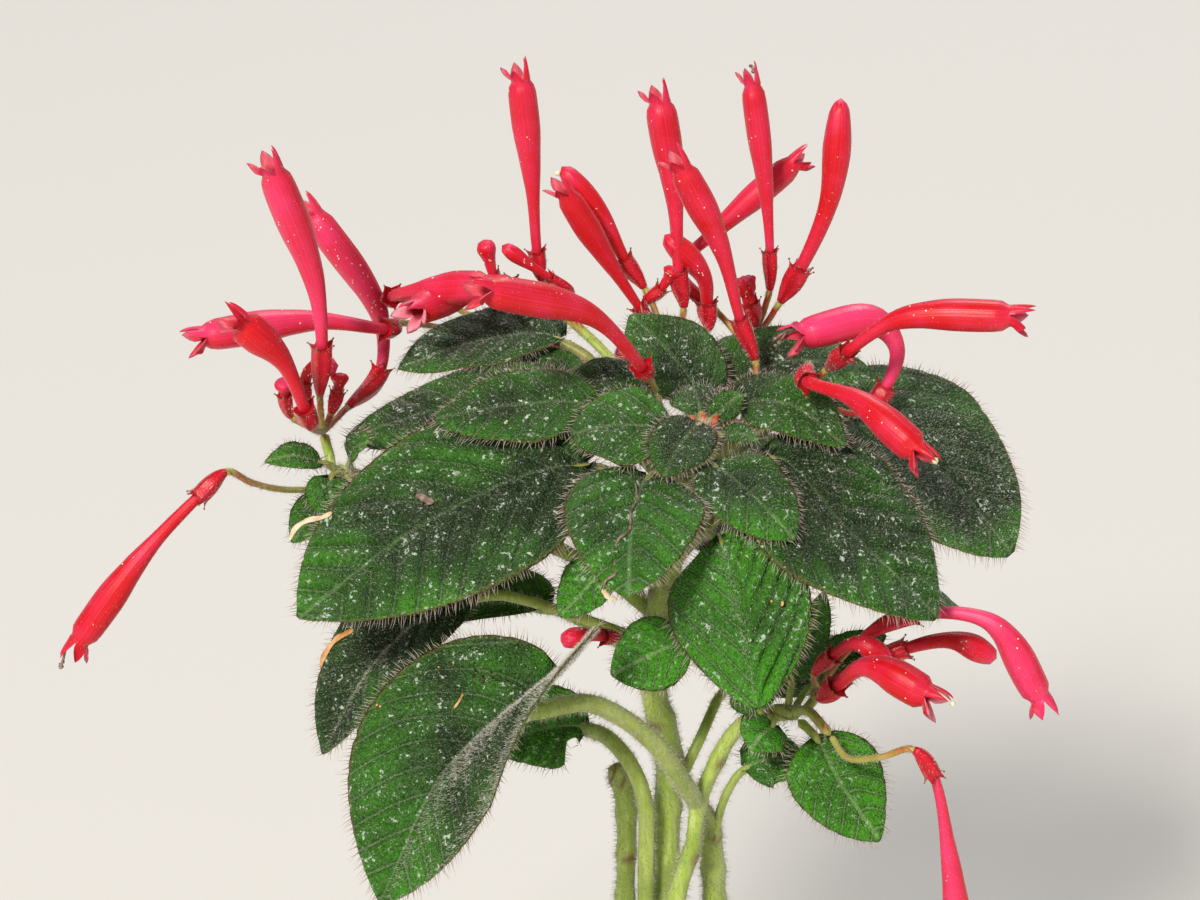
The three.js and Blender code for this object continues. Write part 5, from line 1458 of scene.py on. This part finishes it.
def makeLitter():
    rng = np.random.default_rng(seeds["litter"])
    bm = newPiece()
    order, looks = list(leaves), list(litterMaterials)

    def laid(name, across, place):
        form = LeafForm(leaves[name], order.index(name))
        points, _, out, _ = form.surface(np.array(across, float), np.array(place, float))
        return points + out * litter["lift"]

    for strip in litter["strips"]:
        points = list(laid(strip["leaf"], *zip(*strip["route"]))) if "route" in strip else []
        points += [np.array(point, float) for point in strip.get("hangs", [])]
        faces, look = leaves[strip["leaf"]]["faces"], looks.index(strip["look"])
        addStrip(bm, points, faces, *strip["size"], look)
    for crumbs in litter["crumbs"]:
        count = crumbs["count"]
        about = zip(crumbs["at"], crumbs["spread"])
        across, place = (rng.normal(middle, spread, count) for middle, spread in about)
        look = looks.index(crumbs["look"])
        strewGrains(bm, rng, laid(crumbs["leaf"], across, place), crumbs["size"], look)
    finishPiece("litter_dried", bm, litterMaterials.values(), "flower")


makeLitter()
print("litter strewn")


# Pot, soil and root stock. The soil's gap is its clearance from the pot, its crown is how much higher it
# stands in the middle, and lump is how uneven it is
pot = {
    "height": 100, "baseRadius": 41, "rimRadius": 57, "wall": 2.2, "floor": 3, "rimHeight": 13,
    "rimStep": 2.4, "holes": 5, "holeRadius": 4, "holeCircle": 26, "steps": 96, "edge": 0.7,
}
soil = {
    "level": 91, "crown": 2, "gap": 0.35, "lump": 1.1,
    "crumbCount": 1100, "crumbSize": (0.4, 1.5), "gritCount": 170, "gritSize": (0.6, 1.6),
}
tuber = {
    "centre": (1, 0, 89), "radii": (20, 19, 14), "sink": 0.6,  # sink draws the whole bark in
    "swell": 1.5, "furrow": 2.7, "furrowShare": 0.35,
}


def potInnerRadius(height):
    share = (height - pot["floor"]) / (pot["height"] - pot["floor"])
    inner = pot["baseRadius"] - pot["wall"]
    return inner + (pot["rimRadius"] - pot["rimStep"] - pot["wall"] - inner) * share


def makePot():
    underRim = pot["height"] - pot["rimHeight"]
    rim, top, floor = pot["rimRadius"], pot["height"], pot["floor"]
    outline = [
        (0, 0), (pot["baseRadius"], 0), (rim - pot["rimStep"], underRim), (rim, underRim), (rim, top),
        (potInnerRadius(top), top), (potInnerRadius(floor), floor), (0, floor),
    ]
    bm = newPiece()
    corners = [bm.verts.new((radius, 0, height)) for radius, height in outline]
    edges = [bm.edges.new(pair) for pair in zip(corners, corners[1:])]
    bmesh.ops.spin(bm, geom=corners + edges, cent=(0, 0, 0), axis=(0, 0, 1), angle=2 * math.pi,
                   steps=pot["steps"], use_merge=True)
    bmesh.ops.remove_doubles(bm, verts=bm.verts, dist=1e-3)
    bmesh.ops.recalc_face_normals(bm, faces=bm.faces)
    sharp = [edge for edge in bm.edges if edge.is_manifold and edge.calc_face_angle() > math.radians(40)]
    bmesh.ops.bevel(bm, geom=sharp, offset=pot["edge"], segments=3, profile=0.5, affect="EDGES", material=-1)
    piece = finishPiece("pot_moulded", bm, [brownPlastic], "pot", "pot")

    drill = bmesh.new()
    for number in range(pot["holes"]):
        angle = 2 * math.pi * number / pot["holes"]
        spot = (pot["holeCircle"] * math.cos(angle), pot["holeCircle"] * math.sin(angle), 0)
        radius = pot["holeRadius"]
        bmesh.ops.create_cone(drill, cap_ends=True, segments=32, radius1=radius, radius2=radius,
                              depth=4 * pot["floor"], matrix=Matrix.Translation(spot))
    bmesh.ops.scale(drill, vec=(mm, mm, mm), verts=drill.verts)
    drillMesh = bpy.data.meshes.new("drill")
    drill.to_mesh(drillMesh)
    drill.free()
    cutter = bpy.data.objects.new("drill", drillMesh)
    bpy.context.scene.collection.objects.link(cutter)
    cut = piece.modifiers.new("drain holes", "BOOLEAN")
    cut.operation = "DIFFERENCE"
    cut.solver = "EXACT"
    cut.object = cutter
    drilled = bpy.data.meshes.new_from_object(piece.evaluated_get(bpy.context.evaluated_depsgraph_get()))
    piece.modifiers.remove(cut)
    piece.data = drilled
    bpy.data.objects.remove(cutter)
    for polygon in drilled.polygons:
        polygon.use_smooth = True
    drilled.set_sharp_from_angle(angle=math.radians(35))


def clumpAt(points, size):
    return np.array([noise.noise(Vector(point) / size) for point in points])


def makeSoil():
    rng = np.random.default_rng(seeds["soil"])
    bottom = pot["floor"] + soil["gap"]
    edge = potInnerRadius(soil["level"]) - soil["gap"]
    bm = newPiece()

    def body(u, v):
        angle = 2 * math.pi * u
        radius = np.interp(v, [0, 0.8, 0.92, 1], [0, edge, potInnerRadius(bottom) - soil["gap"], 0])
        level, crown = soil["level"], soil["crown"]
        height = np.interp(v, [0, 0.48, 0.8, 0.92], [level + crown, level + 0.8 * crown, level, bottom])
        points = np.stack([radius * np.cos(angle), radius * np.sin(angle), height], 1)
        lump = clumpAt(points, 6) + 0.5 * clumpAt(points, 2.4)
        points[:, 2] += soil["lump"] * (lump - 0.4) * (v < 0.78)
        return points, points * 0

    addSheet(bm, 110, 60, body)
    for material, kind in enumerate(("crumb", "grit"), start=1):
        count, sizes = soil[kind + "Count"], soil[kind + "Size"]
        radius = edge * np.sqrt(rng.uniform(0, 0.97, count))
        angle = rng.uniform(0, 2 * math.pi, count)
        level = soil["level"] + soil["crown"] * np.interp(radius / edge, [0, 0.6, 1], [1, 0.8, 0]) - 0.2
        centres = np.stack([radius * np.cos(angle), radius * np.sin(angle), level], 1)
        strewGrains(bm, rng, centres, rng.uniform(*sizes, count), material)
    finishPiece("soil_filled", bm, [darkSoil, peatCrumb, whiteGrit], "soil", "soil")


def makeTuber():
    bm = newPiece()
    bmesh.ops.create_icosphere(bm, subdivisions=6, radius=1)
    for vert in bm.verts:
        out = vert.co.normalized()
        coarse = noise.noise(out * 2.2)
        furrow = abs(noise.noise(Vector((out.x * 5, out.y * 5, out.z * 9))))
        depth = tuber["furrow"] * max(0, tuber["furrowShare"] - furrow)
        rise = tuber["swell"] * coarse - depth - tuber["sink"]
        point = Vector(tuber["centre"]) + Vector([radius * part for radius, part in zip(tuber["radii"], out)])
        vert.co = point + out * rise
    for face in bm.faces:
        face.smooth = True
    finishPiece("tuber_corky", bm, [tuberCork], "tuber", "tuber")


makePot()
makeSoil()
makeTuber()
print("pot, soil and root stock made")


# Studio: a pale floor, a large soft key light from the upper left, a weak fill and a light from behind
studio = {
    "floor": 12,  # metres across
    "floorColour": "#e9e6e1",
    "world": "#f3f1ee",
    "worldStrength": 0.25,
    "lights": {
        "key": {"at": (-1.6, -4.0, 3.3), "size": 0.9, "power": 260, "colour": "#fffaf2"},
        "fill": {"at": (4.2, -2.6, 2.6), "size": 3.0, "power": 22, "colour": "#f3f7ff"},
        "rim": {"at": (0.8, 3.4, 4.0), "size": 2.0, "power": 110, "colour": "#ffffff"},
    },
    "aim": (-0.01, 0, 0.23),
}


def makeStudio():
    bm = bmesh.new()
    bmesh.ops.create_grid(bm, x_segments=1, y_segments=1, size=studio["floor"] / 2)
    mesh = bpy.data.meshes.new("floor")
    bm.to_mesh(mesh)
    bm.free()
    floor = bpy.data.objects.new("floor", mesh)
    bpy.context.scene.collection.objects.link(floor)
    # Matt paper that rolls out under the pot
    material, _, shader = newMaterial("matt_studio_paper")
    setShader(shader, Base_Color=colourOf(studio["floorColour"]), Roughness=0.9, IOR=1.3)
    mesh.materials.append(material)

    world = bpy.data.worlds.new("studio")
    world.use_nodes = True
    background = world.node_tree.nodes["Background"]
    background.inputs["Color"].default_value = colourOf(studio["world"])
    background.inputs["Strength"].default_value = studio["worldStrength"]
    bpy.context.scene.world = world

    for name, settings in studio["lights"].items():
        light = bpy.data.lights.new(name, "AREA")
        light.shape = "DISK"
        light.size = settings["size"]
        light.energy = settings["power"]
        light.color = colourOf(settings["colour"])[:3]
        lamp = bpy.data.objects.new(name, light)
        lamp.location = settings["at"]
        lamp.rotation_euler = (Vector(studio["aim"]) - lamp.location).to_track_quat("-Z", "Y").to_euler()
        bpy.context.scene.collection.objects.link(lamp)
    bpy.context.scene.view_settings.view_transform = "Standard"


makeStudio()
print("studio made")
